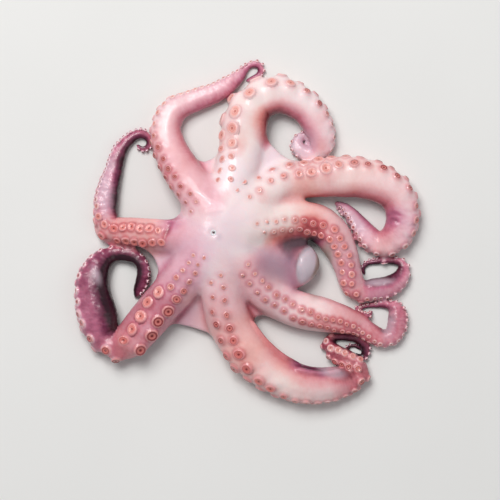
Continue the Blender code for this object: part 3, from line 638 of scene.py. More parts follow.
class Field:
    """A distance field on a grid, negative inside the flesh."""

    def __init__(self, low, high):
        self.low = rounded(low)
        counts = np.ceil((rounded(high) - self.low) / CELL).astype(int) + 1
        self.axes = [self.low[i] + CELL * np.arange(counts[i]) for i in range(3)]
        self.values = np.full(counts, FAR, dtype=np.float32)
        self.blend = blend_at(self.axes[0][:, None], self.axes[1][None, :])[:, :, None]

    def window(self, low, high):
        """The cells of a box, and their places."""
        cells = []
        places = []
        for axis, start, end in zip(self.axes, low, high):
            first, last = np.searchsorted(axis, [start, end])
            cells.append(slice(first, last))
            places.append(axis[first:last])
        x, y, z = np.meshgrid(*places, indexing="ij", sparse=True)
        return tuple(cells), x, y, z

    def add_softly(self, cells, other, blend=None):
        """Joins another form on with a fillet, as wide as the local blend if none is given."""
        own = self.values[cells]
        if blend is None:
            blend = self.blend[cells[0], cells[1]]
        overlap = np.maximum(blend - np.abs(own - other), 0.0)
        self.values[cells] = np.minimum(own, other) - overlap ** 2 / (4.0 * blend)

    def add_arm(self, arm):
        """A tube through the arm's middles, its stretches joined sharply."""
        middles = np.array([rounded(middle) for middle in arm.middles])
        reach = arm.half.max() + BLEND_NEAR + MARGIN
        arm_cells, _, _, _ = self.window(middles.min(axis=0) - reach, middles.max(axis=0) + reach)
        tube = np.full(self.values.shape, FAR, dtype=np.float32)
        for start, end, thick, thin in zip(middles, middles[1:], arm.half, arm.half[1:]):
            pad = max(thick, thin) + float(blend_at(start[0], start[1])) + MARGIN
            cells, *place = self.window(np.minimum(start, end) - pad, np.maximum(start, end) + pad)
            tube[cells] = np.minimum(tube[cells], distance_to_bar(start, end, thick, thin, *place))
        self.add_softly(arm_cells, tube[arm_cells])

    def add_ellipsoid(self, form):
        """One ellipsoid, by the usual estimate of the distance to it."""
        middle = rounded((form.x, form.y, form.z))
        half = rounded((form.half_x, form.half_y, form.half_z))
        pad = max(half) + BLEND_NEAR + MARGIN
        cells, x, y, z = self.window(middle - pad, middle + pad)
        east = x - middle[0]
        north = y - middle[1]
        up = z - middle[2]
        near = np.sqrt((east / half[0]) ** 2 + (north / half[1]) ** 2 + (up / half[2]) ** 2)
        slope = np.sqrt((east / half[0] ** 2) ** 2 + (north / half[1] ** 2) ** 2
                        + (up / half[2] ** 2) ** 2)
        self.add_softly(cells, near * (near - 1.0) / np.maximum(slope, LEAST_SLOPE))

    def add_web(self, middle, free_edge):
        """A sheet with a rounded rim, fanned out from its middle to the points of its edge."""
        middle = rounded(middle)
        rim = [rounded(point) for point in free_edge]
        pad = BLEND_NEAR + MARGIN
        low = np.minimum(middle, np.min(rim, axis=0)) - pad
        high = np.maximum(middle, np.max(rim, axis=0)) + pad
        cells, x, y, z = self.window(low, high)
        sheet = FAR
        for start, end in zip(rim, rim[1:]):
            sheet = np.minimum(sheet, distance_to_triangle([middle, start, end], x, y, z))
        blend = np.maximum(self.blend[cells[0], cells[1]], WEB_BLEND)
        self.add_softly(cells, sheet - WEB_THICKNESS / 2, blend)

    def add_ridge(self, middles, radius):
        """A thin fold that swells the skin along a line."""
        middles = [rounded(middle) for middle in middles]
        pad = 3 * radius + CELL
        for start, end in zip(middles, middles[1:]):
            cells, *place = self.window(np.minimum(start, end) - pad, np.maximum(start, end) + pad)
            fold = distance_to_bar(start, end, radius, radius, *place)
            self.add_softly(cells, fold, RIDGE_BLEND * radius)

    def add_mound(self, middle, radius, blend):
        """A small ball that swells the skin round it."""
        middle = rounded(middle)
        pad = radius / FLATNESS + 2 * blend + CELL
        cells, x, y, z = self.window(middle - pad, middle + pad)
        up = (z - middle[2]) * FLATNESS
        away = np.sqrt((x - middle[0]) ** 2 + (y - middle[1]) ** 2 + up ** 2)
        self.add_softly(cells, away - radius, blend)

    def surface(self):
        """Corners and faces of the zero level, back in real space."""
        grid = openvdb.FloatGrid(FAR)
        grid.copyFromArray(self.values)
        points, triangles, quads = grid.convertToPolygons(isovalue=0.0, adaptivity=0.0)
        points = points * CELL + self.low
        points[:, 2] *= FLATNESS
        return points, [tuple(face) for face in triangles] + [tuple(face) for face in quads]


def web_edge(web, arms):
    """Points of a web's free edge: from arm to arm, on a parabola through its middle."""
    first = arms[web.first].at(web.reach_first, arms[web.first].middles)
    second = arms[web.second].at(web.reach_second, arms[web.second].middles)
    bend = 2.0 * np.array([web.x, web.y, web.z]) - (first + second) / 2
    shares = np.linspace(0.0, 1.0, WEB_STRETCHES + 1)
    return [(1 - t) ** 2 * first + 2 * t * (1 - t) * bend + t ** 2 * second for t in shares]


def flesh_field(arms):
    """The whole animal's distance field."""
    everything = np.vstack([arm.middles for arm in arms.values()])
    widest = max(arm.half.max() for arm in arms.values()) + MARGIN
    low = everything.min(axis=0) - widest
    high = everything.max(axis=0) + widest + BLEND_NEAR / 2
    low[2] = -MARGIN
    field = Field(low, high)
    for form in (HEAD, MANTLE, CROWN):
        field.add_ellipsoid(form)
    for arm in arms.values():
        field.add_arm(arm)
    for web in WEBS:
        field.add_web((CROWN.x, CROWN.y, CROWN.z), web_edge(web, arms))
    return field


# Sucker: where it sits, the way it faces, its width, how tall it is over its usual height,
# and its kind and colour, as a Cup
Sucker = namedtuple("Sucker", "place outward width tall kind")


def cup_at(name, reach):
    """What an arm's suckers are like at a distance along it."""
    rows = np.array(CUPS[name])
    return Cup(*[float(np.interp(reach, rows[:, 0], column)) for column in rows.T])


def suckers_on(arm, skin, draw):
    """The suckers of one arm, in two staggered rows, where they stand free on the skin."""
    found = []
    reach = CUPS[arm.name][0].reach
    side = 1
    while reach < arm.along[-1] - BARE_TIP:
        cup = cup_at(arm.name, reach)
        # One row's cups are darker, as painted shade on the side away from the light
        if side < 0:
            cup = cup._replace(drawn=cup.drawn + cup.right)
        share = ROW_SPREAD * cup.width / arm.at(reach, arm.half)
        spread = math.degrees(math.asin(min(max(share, LEAST_SPREAD), MOST_SPREAD)))
        width = cup.width * draw.uniform(1.0 - UNEVEN_WIDTH, 1.0 + UNEVEN_WIDTH)
        shift = draw.uniform(-UNEVEN_PLACE, UNEVEN_PLACE) * cup.pitch
        turn = side * spread + draw.uniform(-UNEVEN_TURN, UNEVEN_TURN)
        outward = arm.outward(reach + shift, turn)
        middle = Vector(arm.at(reach + shift, arm.middles))
        farthest = FARTHEST_HIT * arm.at(reach, arm.half) + blend_at(*middle.xy) / 2
        hit, _, _, away = skin.ray_cast(middle, outward)
        if hit is not None and away < farthest:
            place = hit + outward * cup.stand * width
            level = math.sqrt(1.0 - outward.z ** 2)
            lowest = place.z - width * (CUP_RADIUS * level + CUP_HEIGHT * max(-outward.z, 0.0))
            start = hit + outward * RAY_START
            blocked, _, _, _ = skin.ray_cast(start, outward, width / 2 + RAY_START)
            if blocked is None and lowest > GROUND_GAP:
                tall = FLAT_CUP + TALLER_CUP * cup.stand
                found.append(Sucker(place, outward, width, tall, cup))
        reach += cup.pitch / 2
        side = -side
    return found


def has_mound(sucker):
    """Whether a sucker is large enough, and stands far enough out, to raise the skin."""
    return sucker.width > SMALL_MOUND and sucker.kind.stand > LOW_MOUND


def raise_mound(field, sucker):
    """Swells the skin under a sucker: a broad dome under a low one, a steep cone under a tall one."""
    stand = sucker.kind.stand
    radius = max(NARROW_MOUND, BROAD_MOUND - MOUND_NARROWS * stand) * sucker.width
    crowded = min(1.0, sucker.kind.pitch / sucker.kind.width / LOOSE_PITCH) ** 2
    blend = (math.sqrt(stand) + math.sqrt(MOUND_DEPTH)) ** 2 * crowded * sucker.width
    middle = sucker.place - sucker.outward * (radius + MOUND_DEPTH * sucker.width)
    field.add_mound(middle, radius, blend)


def seated(sucker, skin):
    """The same sucker, set on the finished skin and turned halfway to the way the skin faces.

    It is None where other flesh covers the sucker.
    """
    reach = SEAT_REACH * sucker.width
    above = sucker.place + sucker.outward * sucker.width
    hit, normal, _, _ = skin.ray_cast(above, -sucker.outward, reach)
    if hit is None or normal.dot(sucker.outward) < 0.0:
        return None
    first = sucker.outward.orthogonal().normalized() * SEAT_RADIUS * sucker.width
    second = sucker.outward.cross(first)
    facing = Vector((0.0, 0.0, 0.0))
    for i in range(SEAT_RAYS):
        angle = 2 * math.pi * i / SEAT_RAYS
        _, normal, _, _ = skin.ray_cast(above + first * math.cos(angle) + second * math.sin(angle),
                                        -sucker.outward, reach)
        facing += normal if normal is not None else sucker.outward
    outward = (sucker.outward + facing.normalized()).normalized()
    rise = CUP_RISE if has_mound(sucker) else sucker.kind.stand
    return sucker._replace(place=hit + outward * rise * sucker.width, outward=outward)


def ridge_places(ridge, arm, skin):
    """Places along a fold, a little into the skin."""
    places = []
    for reach in np.arange(ridge.start, ridge.end, STEP_ALONG):
        upright = ridge.angle - arm.at(reach, arm.turn)
        outward = arm.outward(reach, upright)
        hit, _, _, _ = skin.ray_cast(Vector(arm.at(reach, arm.middles)), outward)
        if hit is not None:
            places.append(np.array(hit + outward * RIDGE_RISE * ridge.thickness))
    return places


def surface_tree(points, faces):
    """A tree for casting rays at a surface."""
    return BVHTree.FromPolygons([tuple(point) for point in points], faces)


def add_object(name, data):
    """A new object in the scene."""
    new = bpy.data.objects.new(name, data)
    bpy.context.scene.collection.objects.link(new)
    return new


def finished_piece(name, shape):
    """An object at the origin from a bmesh in metres, shaded smooth."""
    mesh = bpy.data.meshes.new(name)
    shape.to_mesh(mesh)
    shape.free()
    mesh.shade_smooth()
    return add_object(name, mesh)


def join_loops(shape, loops):
    """Faces from each closed loop of corners to the next."""
    for lower, upper in zip(loops, loops[1:]):
        for i in range(len(lower)):
            after = (i + 1) % len(lower)
            shape.faces.new((lower[i], lower[after], upper[after], upper[i]))


def close_ends(shape, loops):
    """Faces that close the first and the last loop."""
    shape.faces.new(list(reversed(loops[0])))
    shape.faces.new(loops[-1])


def cut_flat(shape):
    """Cuts away what lies below the ground and closes the cut with flat faces."""
    everything = shape.verts[:] + shape.edges[:] + shape.faces[:]
    bmesh.ops.bisect_plane(shape, geom=everything, dist=ON_GROUND, plane_co=(0, 0, 0),
                           plane_no=(0, 0, -1), clear_outer=True)
    rims = [edge for edge in shape.edges if edge.is_boundary]
    bmesh.ops.triangle_fill(shape, edges=rims, use_beauty=True)
    bmesh.ops.recalc_face_normals(shape, faces=shape.faces)


def skin_mesh(points, faces):
    """The skin, cut flat where it lies, as a mesh object in metres."""
    mesh = bpy.data.meshes.new("uncut_skin")
    mesh.from_pydata([tuple(point * METRES) for point in points], [], faces)
    shape = bmesh.new()
    shape.from_mesh(mesh)
    bpy.data.meshes.remove(mesh)
    cut_flat(shape)
    return finished_piece("octopus_skin", shape)


def corner_rows(mesh, name):
    """Three numbers of each corner of a mesh, one row each."""
    rows = np.empty(len(mesh.vertices) * 3, dtype=np.float32)
    mesh.vertices.foreach_get(name, rows)
    return rows.reshape(-1, 3)


def corner_places(mesh):
    """A mesh's corners in millimetres, one row each."""
    return corner_rows(mesh, "co") / METRES


def tree_of(places):
    """A tree for finding the nearest of some places."""
    tree = KDTree(len(places))
    for i, place in enumerate(places):
        tree.insert(place, i)
    tree.balance()
    return tree


class Anatomy:
    """What the skin is at each of its corners: colour, nearness to things, and folds."""

    def __init__(self, places, arms, suckers):
        self.places = places
        count = len(places)
        self.total = np.zeros(count)
        self.pigment = np.zeros(count)
        self.warmth = np.zeros(count)
        self.back = np.zeros(count)
        self.wrinkle = np.zeros(count)
        self.flush = np.zeros(count)
        self.folds = np.zeros(count)
        self.clearance = np.full(count, FAR)
        for arm in arms.values():
            self.read_arm(arm)
        for sums in (self.pigment, self.warmth, self.back, self.wrinkle, self.flush):
            sums /= self.total
        self.web = smoothstep(WEB_START, WEB_FULL, self.clearance)
        self.pigment += WEB_SHARE * self.web * (WEB_PIGMENT - self.pigment)
        # Blotches, some of them painted shadow and painted light
        for blotch in BLOTCHES_AND_PAINTED_LIGHT:
            away = np.hypot(places[:, 0] - blotch.x, places[:, 1] - blotch.y) / blotch.spread
            amount = np.exp(-away ** 2)
            self.pigment += blotch.pigment * amount
            self.warmth += blotch.warmth * amount
        self.web *= 1.0 - WEB_LOSS * smoothstep(PALE_PIGMENT, DARK_PIGMENT, self.pigment)
        self.read_suckers(suckers)
        self.mantle = self.on_patches(BARE)
        # Painted shade on the mantle's far side from the light
        self.olive = self.on_patches(PAINTED_MANTLE_SHADE)
        self.veil = self.on_patches(VEILS)
        # Pale lilac skin with painted sheen, and a painted shadow beside the mouth
        self.lilac = self.on_patches(LILAC_PAINTED_SHEEN_AND_SHADE)
        self.crease = sum(groove_depth(groove, places) for groove in GROOVES) / 2
        # Painted shade in the creases is redder as well as darker
        self.warmth += self.crease / 2

    def read_arm(self, arm):
        """Adds one arm's say to each corner, by how near its skin is."""
        places = self.places
        nearest = np.full(len(places), np.inf, dtype=np.float32)
        index = np.zeros(len(places), dtype=int)
        for i, middle in enumerate(arm.middles):
            gap = places - middle
            away = gap[:, 0] ** 2 + gap[:, 1] ** 2 + (gap[:, 2] / FLATNESS) ** 2
            away = np.sqrt(away) - arm.half[i]
            closer = away < nearest
            nearest[closer] = away[closer]
            index[closer] = i
        off = places - arm.middles[index]
        ahead = arm.ahead[index]
        left = arm.left[index]
        reach = arm.along[index] + off[:, 0] * ahead[:, 0] + off[:, 1] * ahead[:, 1]
        side = off[:, 0] * left[:, 0] + off[:, 1] * left[:, 1]
        up = off[:, 2] / FLATNESS
        size = np.maximum(np.hypot(side, up), LEAST_SIZE)
        turn = np.radians(arm.turn[index])
        facing = (side * np.sin(turn) + up * np.cos(turn)) / size
        back = smoothstep(FRONT_END, BACK_START, -facing)
        outside = np.maximum(nearest, 0.0)
        weight = np.exp(-outside / COLOUR_REACH) + LEAST_WEIGHT
        front_tint, back_pigment_and_shade, warmth, wrinkle, flush = tints_at(arm.name, reach)
        # The back's extra pigment is partly its own darker colour and partly painted shade on flanks
        # away from the light
        self.pigment += weight * (front_tint + back * back_pigment_and_shade)
        self.warmth += weight * warmth
        self.flush += weight * flush
        self.back += weight * back
        ripple = np.zeros(len(places))
        round_arm = np.arctan2(side, up) * arm.half[index]
        for i in np.flatnonzero(nearest < COLOUR_REACH):
            ripple[i] = cross_wrinkle(reach[i], round_arm[i], arm.seed)
        self.wrinkle += weight * wrinkle * ripple
        self.total += weight
        bend = np.abs(arm.bend[index]) * arm.half[index]
        inner = smoothstep(INNER_START, INNER_FULL, np.sign(arm.bend[index]) * side / size)
        on_arm = np.exp(-(outside / FOLD_REACH) ** 2)
        tight = smoothstep(SLIGHT_BEND, TIGHT_BEND, bend) * inner * on_arm
        wave = (1.0 + np.cos(2 * math.pi * reach / FOLD_PITCH)) / 2
        self.folds = np.maximum(self.folds, tight * wave ** 2)
        self.clearance = np.minimum(self.clearance, nearest)

    def read_suckers(self, suckers):
        """Flushes the skin near suckers, paints shade at their feet and pales it on tall ones."""
        tree = tree_of([sucker.place for sucker in suckers])
        gap = np.empty(len(self.places))
        width = np.empty(len(self.places))
        stand = np.empty(len(self.places))
        for i, place in enumerate(self.places):
            _, which, away = tree.find(place)
            width[i] = suckers[which].width
            gap[i] = away - width[i] / 2
            stand[i] = suckers[which].kind.stand
        self.blush = (1.0 - smoothstep(UNDER_RIM, FLUSH_REACH, gap)) * self.flush
        # Painted shade round each sucker's foot
        painted_foot_shade = smoothstep(UNDER_RIM, FOOT_FULL, gap) * (1.0 - smoothstep(FOOT_FADES, FOOT_REACH, gap))
        cone = 1.0 - smoothstep(0.0, CONE_REACH, gap / width)
        cone *= smoothstep(LOW_STAND, TALL_STAND, stand)
        pale = CONE_PALENESS * cone * smoothstep(LITTLE_PIGMENT, MUCH_PIGMENT, self.pigment)
        self.pigment += FOOT_SHADE * painted_foot_shade * self.flush - pale

    def on_patches(self, patches):
        """1 in the middle of some patches, down to 0 past their edges."""
        amount = np.zeros(len(self.places))
        for patch in patches:
            turn = math.radians(patch.turn)
            off_x = self.places[:, 0] - patch.x
            off_y = self.places[:, 1] - patch.y
            east = (off_x * math.cos(turn) + off_y * math.sin(turn)) / patch.half_x
            north = (off_y * math.cos(turn) - off_x * math.sin(turn)) / patch.half_y
            out = np.hypot(east, north)
            amount = np.maximum(amount, 1.0 - smoothstep(1.0 - patch.soft, 1.0 + patch.soft, out))
        return amount


def cross_wrinkle(reach, across, seed):
    """A wrinkle across an arm, from 0 on the ridges to 1 in the creases."""
    value = noise.noise(Vector((reach / WRINKLE_LENGTH, across / WRINKLE_BREADTH, seed)))
    return 1.0 - min(1.0, abs(value) * WRINKLE_SHARPNESS)


def tints_at(name, reach):
    """An arm's front and back pigment, warmth, wrinkle depth and flush at distances along it."""
    rows = np.array(TINTS[name])
    return [np.interp(reach, rows[:, 0], column) for column in rows.T[1:]]


def lumps_at(places):
    """Uneven height of the skin in millimetres."""
    height = np.zeros(len(places))
    for size, depth in LUMPS:
        height += depth * np.array([noise.noise(Vector(place) / size) for place in places])
    return height


def groove_depth(groove, places):
    """How deep a crease is at each place."""
    start = np.array([groove.x1, groove.y1])
    along = np.array([groove.x2, groove.y2]) - start
    off = places[:, :2] - start
    share = np.clip((off @ along) / (along @ along), 0.0, 1.0)
    away = np.linalg.norm(off - share[:, None] * along, axis=1)
    taper = np.sin(math.pi * (GROOVE_END + (1.0 - 2 * GROOVE_END) * share))
    return groove.depth * taper * np.exp(-(away / groove.width) ** 2)


def push_relief(skin, anatomy):
    """Moves the skin's corners along their normals: lumps, folds, creases and the mouth's dip."""
    mesh = skin.data
    places = anatomy.places
    normals = corner_rows(mesh, "normal")
    height = lumps_at(places) * (FRONT_LUMPS + (1.0 - FRONT_LUMPS) * anatomy.back)
    height -= FOLD_DEPTH * anatomy.folds + anatomy.wrinkle
    for groove in GROOVES:
        height -= groove_depth(groove, places) * smoothstep(STEEP, LEVEL, normals[:, 2])
    from_mouth = np.hypot(places[:, 0], places[:, 1])
    height -= MOUTH_DIP * np.exp(-(from_mouth / MOUTH_DIP_WIDTH) ** 2)
    height *= smoothstep(RELIEF_START, RELIEF_FULL, places[:, 2])
    moved = (places + normals * height[:, None]) * METRES
    mesh.vertices.foreach_set("co", moved.astype(np.float32).ravel())
    mesh.update()


SKIN_TRAITS = ("pigment", "warmth", "web", "blush", "mantle", "olive", "veil", "lilac", "crease",
               "wrinkle")


def store(mesh, name, values):
    """Keeps one number for each corner of a mesh."""
    attribute = mesh.attributes.new(name, "FLOAT", "POINT")
    attribute.data.foreach_set("value", np.asarray(values, dtype=np.float32))


class Link:
    """An output of a node. Sums on it add the Math nodes that work them out."""

    def __init__(self, nodes, socket):
        self.nodes = nodes
        self.socket = socket

    def math(self, operation, *values):
        """The result of a Math node on some numbers or outputs."""
        return self.nodes.add("ShaderNodeMath", {"operation": operation}, dict(enumerate(values)))

    def __add__(self, other):
        return self.math("ADD", self, other)

    def __radd__(self, other):
        return self.math("ADD", other, self)

    def __sub__(self, other):
        return self.math("SUBTRACT", self, other)

    def __rsub__(self, other):
        return self.math("SUBTRACT", other, self)

    def __mul__(self, other):
        return self.math("MULTIPLY", self, other)

    def __rmul__(self, other):
        return self.math("MULTIPLY", other, self)

    def between(self, low, high):
        """Goes smoothly from 0 where this is low to 1 where it is high."""
        return self.nodes.add("ShaderNodeMapRange", {"interpolation_type": "SMOOTHSTEP"},
                              {"Value": self, "From Min": low, "From Max": high})


class Nodes:
    """A tree of nodes, added one at a time."""

    def __init__(self, tree):
        self.tree = tree
        tree.nodes.clear()

    def add(self, kind, settings=None, inputs=None, output=0):
        """One node: its settings are set first, then its inputs' values or links."""
        node = self.tree.nodes.new(kind)
        for name, value in (settings or {}).items():
            if name == "stops":
                self.set_stops(node.color_ramp, value)
            else:
                setattr(node, name, value)
        for name, value in (inputs or {}).items():
            if isinstance(value, Link):
                self.tree.links.new(value.socket, node.inputs[name])
            else:
                node.inputs[name].default_value = value
        return Link(self, node.outputs[output]) if len(node.outputs) else None

    def set_stops(self, ramp, stops):
        """Gives a colour ramp its places and colours."""
        while len(ramp.elements) < len(stops):
            ramp.elements.new(1.0)
        for element, (place, colour) in zip(ramp.elements, stops):
            element.position = place
            element.color = colour

    def attribute(self, name):
        """A number kept on the mesh."""
        return self.add("ShaderNodeAttribute", {"attribute_name": name}, output="Fac")

    def noise(self, place, scale, detail, distortion=0.0):
        """Cloudy noise from 0 to 1, at so many clouds a metre."""
        inputs = {"Vector": place, "Scale": scale, "Detail": detail, "Distortion": distortion}
        return self.add("ShaderNodeTexNoise", None, inputs, "Fac")

    def ramp(self, value, stops):
        """A colour for each value from 0 to 1."""
        return self.add("ShaderNodeValToRGB", {"stops": stops}, {"Fac": value}, "Color")

    def mix(self, share, first, second):
        """The second colour laid over the first, by a share from 0 to 1."""
        return self.add("ShaderNodeMix", {"data_type": "RGBA"}, {0: share, 6: first, 7: second}, 2)


def shade(red, green, blue):
    """A colour given by its screen values from 0 to 255, as the shader needs it."""
    values = [value / 255 for value in (red, green, blue)]
    linear = [v / 12.92 if v <= 0.04045 else ((v + 0.055) / 1.055) ** 2.4 for v in values]
    return (*linear, 1.0)


# The skin's colour for each pigment from 0 to 1, where it is cool and where it is warm
MAUVE_SKIN = [(0.0, shade(246, 226, 230)), (0.16, shade(234, 184, 198)), (0.42, shade(194, 112, 140)),
              (0.70, shade(116, 44, 76)), (1.0, shade(44, 8, 26))]
CORAL_SKIN = [(0.0, shade(248, 226, 221)), (0.16, shade(240, 188, 182)), (0.42, shade(214, 126, 122)),
              (0.70, shade(142, 58, 62)), (1.0, shade(58, 14, 20))]

# The flush round the suckers
SALMON = shade(202, 92, 96)

# How far the colours of the webs and the patches are laid over the flesh, in this order
# The olive-grey tint is painted shade on the mantle's far side; the lilac one is partly painted sheen
# and, beside the mouth, painted shadow
SKIN_TINTS = (("web", 0.35, shade(212, 184, 202)), ("veil", 0.75, shade(146, 116, 132)),
              ("lilac", 0.60, shade(208, 182, 196)), ("olive", 0.85, shade(142, 130, 116)),
              ("mantle", 0.90, shade(204, 192, 202)))

# How many clouds a metre the noises have: in the grain, the pigment and the suckers' colour,
# and on the lips, the beak and the floor
FINE_GRAIN = 560.0
BROAD_GRAIN = 130.0
PIGMENT_CLOUDS = 55.0
PIGMENT_SPECKS = 240.0
CUP_SPECKS = 300.0
LIP_CLOUDS = 900.0
BEAK_CLOUDS = 700.0
FLOOR_CLOUDS = 6.0

# How much of the bumps is fine and how much is broad, how deep they are in metres, and how
# uneven the gloss is
FINE_BUMPS = 0.45
BROAD_BUMPS = 0.8
BUMP_DEPTH = 0.0006
UNEVEN_GLOSS = 0.14

# How full the wet film is: its least share, on the skin, how much more with pigment and on
# the suckers, and on the lips and the beak
LEAST_FILM = 0.50
SKIN_FILM = 0.30
PIGMENT_FILM = 0.10
SUCKER_FILM = 0.1
LIP_FILM = 0.4
BEAK_FILM = 0.3

# How uneven the pigment is, how much of that stays where the skin is pale, in clouds and in
# specks, and how uneven the warmth and the suckers' ripeness are
UNEVEN_PIGMENT = 0.24
PALE_CLOUDS = 0.3
PALE_SPECKS = 0.15
UNEVEN_WARMTH = 0.5
SPECKLED_RIPE = 0.3

# How much of a blush shows at least, how much more in clouds, and its share on cool skin
LEAST_BLUSH = 0.15
CLOUDY_BLUSH = 0.60
COOL_BLUSH = 0.45

# How much painted shade wrinkles and creases add, as darker pigment, and at which depths the
# skin's colour on a sucker's foot turns into its own
WRINKLE_SHADE = 0.25
CREASE_SHADE = 0.45
OWN_START = 0.08
OWN_FULL = 0.36


def new_material(name):
    """An empty material, its nodes, and the place on the piece that they colour."""
    material = bpy.data.materials.new(name)
    material.use_nodes = True
    nodes = Nodes(material.node_tree)
    return material, nodes, nodes.add("ShaderNodeTexCoord", output="Object")


def wet_material(name, look_of, roughness, grain, crinkle=0.0):
    """Soft flesh under a wet film. look_of adds nodes for its colour and how full the film is.

    crinkle is how much rougher the skin gets with its pigment.
    """
    material, nodes, place = new_material(name)
    fine = nodes.noise(place, FINE_GRAIN, detail=3.0)
    broad = nodes.noise(place, BROAD_GRAIN, detail=2.0)
    height = fine * FINE_BUMPS + broad * (BROAD_BUMPS + crinkle * nodes.attribute("pigment"))
    bump = nodes.add("ShaderNodeBump", None,
                     {"Strength": grain, "Distance": BUMP_DEPTH, "Height": height})
    colour, film = look_of(nodes, place)
    skin = nodes.add("ShaderNodeBsdfPrincipled", None, {
        "Base Color": colour,
        "Roughness": roughness + UNEVEN_GLOSS * (fine - 0.5),
        "Coat Weight": film * (LEAST_FILM + broad),
        "Coat Roughness": 0.11,
        "Specular IOR Level": 0.35,
        "Subsurface Weight": 0.16,
        "Subsurface Radius": (1.0, 0.38, 0.30),
        "Subsurface Scale": 0.004,
        "Normal": bump,
    })
    nodes.add("ShaderNodeOutputMaterial", None, {"Surface": skin})
    return material


def flesh_colour(nodes, place, extra):
    """Mauve or coral pigment, unevenly laid, by the pigment and warmth kept on the mesh."""
    cloud = nodes.noise(place, PIGMENT_CLOUDS, detail=4.0, distortion=0.4)
    specks = nodes.noise(place, PIGMENT_SPECKS, detail=3.0, distortion=0.2)
    pigment = nodes.attribute("pigment") + extra
    depth = pigment + UNEVEN_PIGMENT * (cloud - 0.5) * (PALE_CLOUDS + pigment)
    depth = depth + UNEVEN_PIGMENT * (specks - 0.5) * (PALE_SPECKS + pigment)
    warmth = nodes.attribute("warmth") + UNEVEN_WARMTH * (cloud - 0.5)
    flesh = nodes.mix(warmth, nodes.ramp(depth, MAUVE_SKIN), nodes.ramp(depth, CORAL_SKIN))
    blush = nodes.attribute("blush") * (LEAST_BLUSH + CLOUDY_BLUSH * cloud)
    blush = blush * (COOL_BLUSH + (1.0 - COOL_BLUSH) * warmth)
    return nodes.mix(blush, flesh, SALMON)


def skin_look(nodes, place):
    """Flesh, with painted shade in its creases, lavender webs, the bare end of the mantle and patches of
    painted shade and sheen.
    """
    painted_crease_shade = (nodes.attribute("wrinkle") * WRINKLE_SHADE
              + nodes.attribute("crease") * CREASE_SHADE)
    flesh = flesh_colour(nodes, place, painted_crease_shade)
    for trait, share, colour in SKIN_TINTS:
        flesh = nodes.mix(nodes.attribute(trait) * share, flesh, colour)
    return flesh, SKIN_FILM + PIGMENT_FILM * nodes.attribute("pigment")


# A sucker's colour for each depth from its rim to its middle, where it is strong, where it is
# faint, where the rim is drawn together, and on the dark arm ends. The dark middle is partly the
# cup's own colour and partly painted shade in its opening, which the form keeps shallow
FRESH_CUP = [(0.16, shade(202, 104, 112)), (0.30, shade(224, 138, 142)), (0.42, shade(232, 148, 148)),
             (0.48, shade(204, 98, 98)), (0.56, shade(232, 136, 130)), (0.66, shade(218, 112, 108)),
             (0.72, shade(186, 74, 72)), (0.79, shade(230, 136, 130)), (0.90, shade(184, 72, 72)),
             (1.0, shade(134, 40, 42))]
FAINT_CUP = [(0.20, shade(232, 178, 180)), (0.34, shade(246, 210, 208)), (0.46, shade(242, 190, 184)),
             (0.60, shade(240, 180, 170)), (0.70, shade(230, 158, 150)), (0.78, shade(243, 190, 180)),
             (0.90, shade(232, 162, 152)), (1.0, shade(214, 134, 126))]
DRAWN_CUP = [(0.20, shade(214, 138, 140)), (0.36, shade(226, 158, 158)), (0.46, shade(150, 58, 64)),
             (0.54, shade(140, 46, 54)), (0.66, shade(214, 130, 124)), (0.82, shade(202, 108, 104)),
             (1.0, shade(120, 34, 38))]
DUSKY_CUP = [(0.18, shade(200, 136, 156)), (0.36, shade(242, 212, 218)), (0.52, shade(226, 174, 184)),
             (0.66, shade(184, 104, 118)), (0.85, shade(136, 56, 72)), (1.0, shade(84, 24, 38))]


def sucker_look(nodes, place):
    """A foot like the skin round it, a pale rim, and a coral cup whose dark middle is partly painted
    shade in its opening.
    """
    depth = nodes.attribute("depth")
    specks = nodes.noise(place, CUP_SPECKS, detail=2.0)
    ripe = nodes.attribute("ripe") + SPECKLED_RIPE * (specks - 0.5)
    cup = nodes.mix(ripe, nodes.ramp(depth, FAINT_CUP), nodes.ramp(depth, FRESH_CUP))
    cup = nodes.mix(nodes.attribute("drawn"), cup, nodes.ramp(depth, DRAWN_CUP))
    cup = nodes.mix(nodes.attribute("dusk"), cup, nodes.ramp(depth, DUSKY_CUP))
    skin, film = skin_look(nodes, place)
    return nodes.mix(depth.between(OWN_START, OWN_FULL), skin, cup), film + SUCKER_FILM


# The outline of a sucker of width 1, from its plug in the flesh to its middle: how far out,
# how high, and how deep into the cup that is, from 0 on the skin to 1 in the middle
CUP_OUTLINE = ((0.30, -0.40, -0.2), (0.80, -0.20, 0.0), (0.67, -0.14, 0.08), (0.54, -0.05, 0.34),
               (0.43, 0.01, 0.44), (0.34, -0.02, 0.56), (0.18, -0.01, 0.78), (0.08, -0.05, 1.0))
BEAD_OUTLINE = ((0.30, -0.40, -0.2), (0.72, -0.22, 0.0), (0.62, -0.06, 0.16), (0.52, 0.12, 0.34),
                (0.36, 0.26, 0.50), (0.12, 0.19, 1.0))
CUP_SIDES = 11
BEAD_SIDES = 8


def turned_form(name, outline, sides):
    """A closed form turned about Z from an outline, with its depth kept on its corners."""
    shape = bmesh.new()
    depth = shape.verts.layers.float.new("depth")
    loops = []
    for out, up, value in outline:
        loop = []
        for side in range(sides):
            angle = 2 * math.pi * side / sides
            corner = shape.verts.new((out * math.cos(angle), out * math.sin(angle), up))
            corner[depth] = value
            loop.append(corner)
        loops.append(loop)
    join_loops(shape, loops)
    close_ends(shape, loops)
    return finished_piece(name, shape)


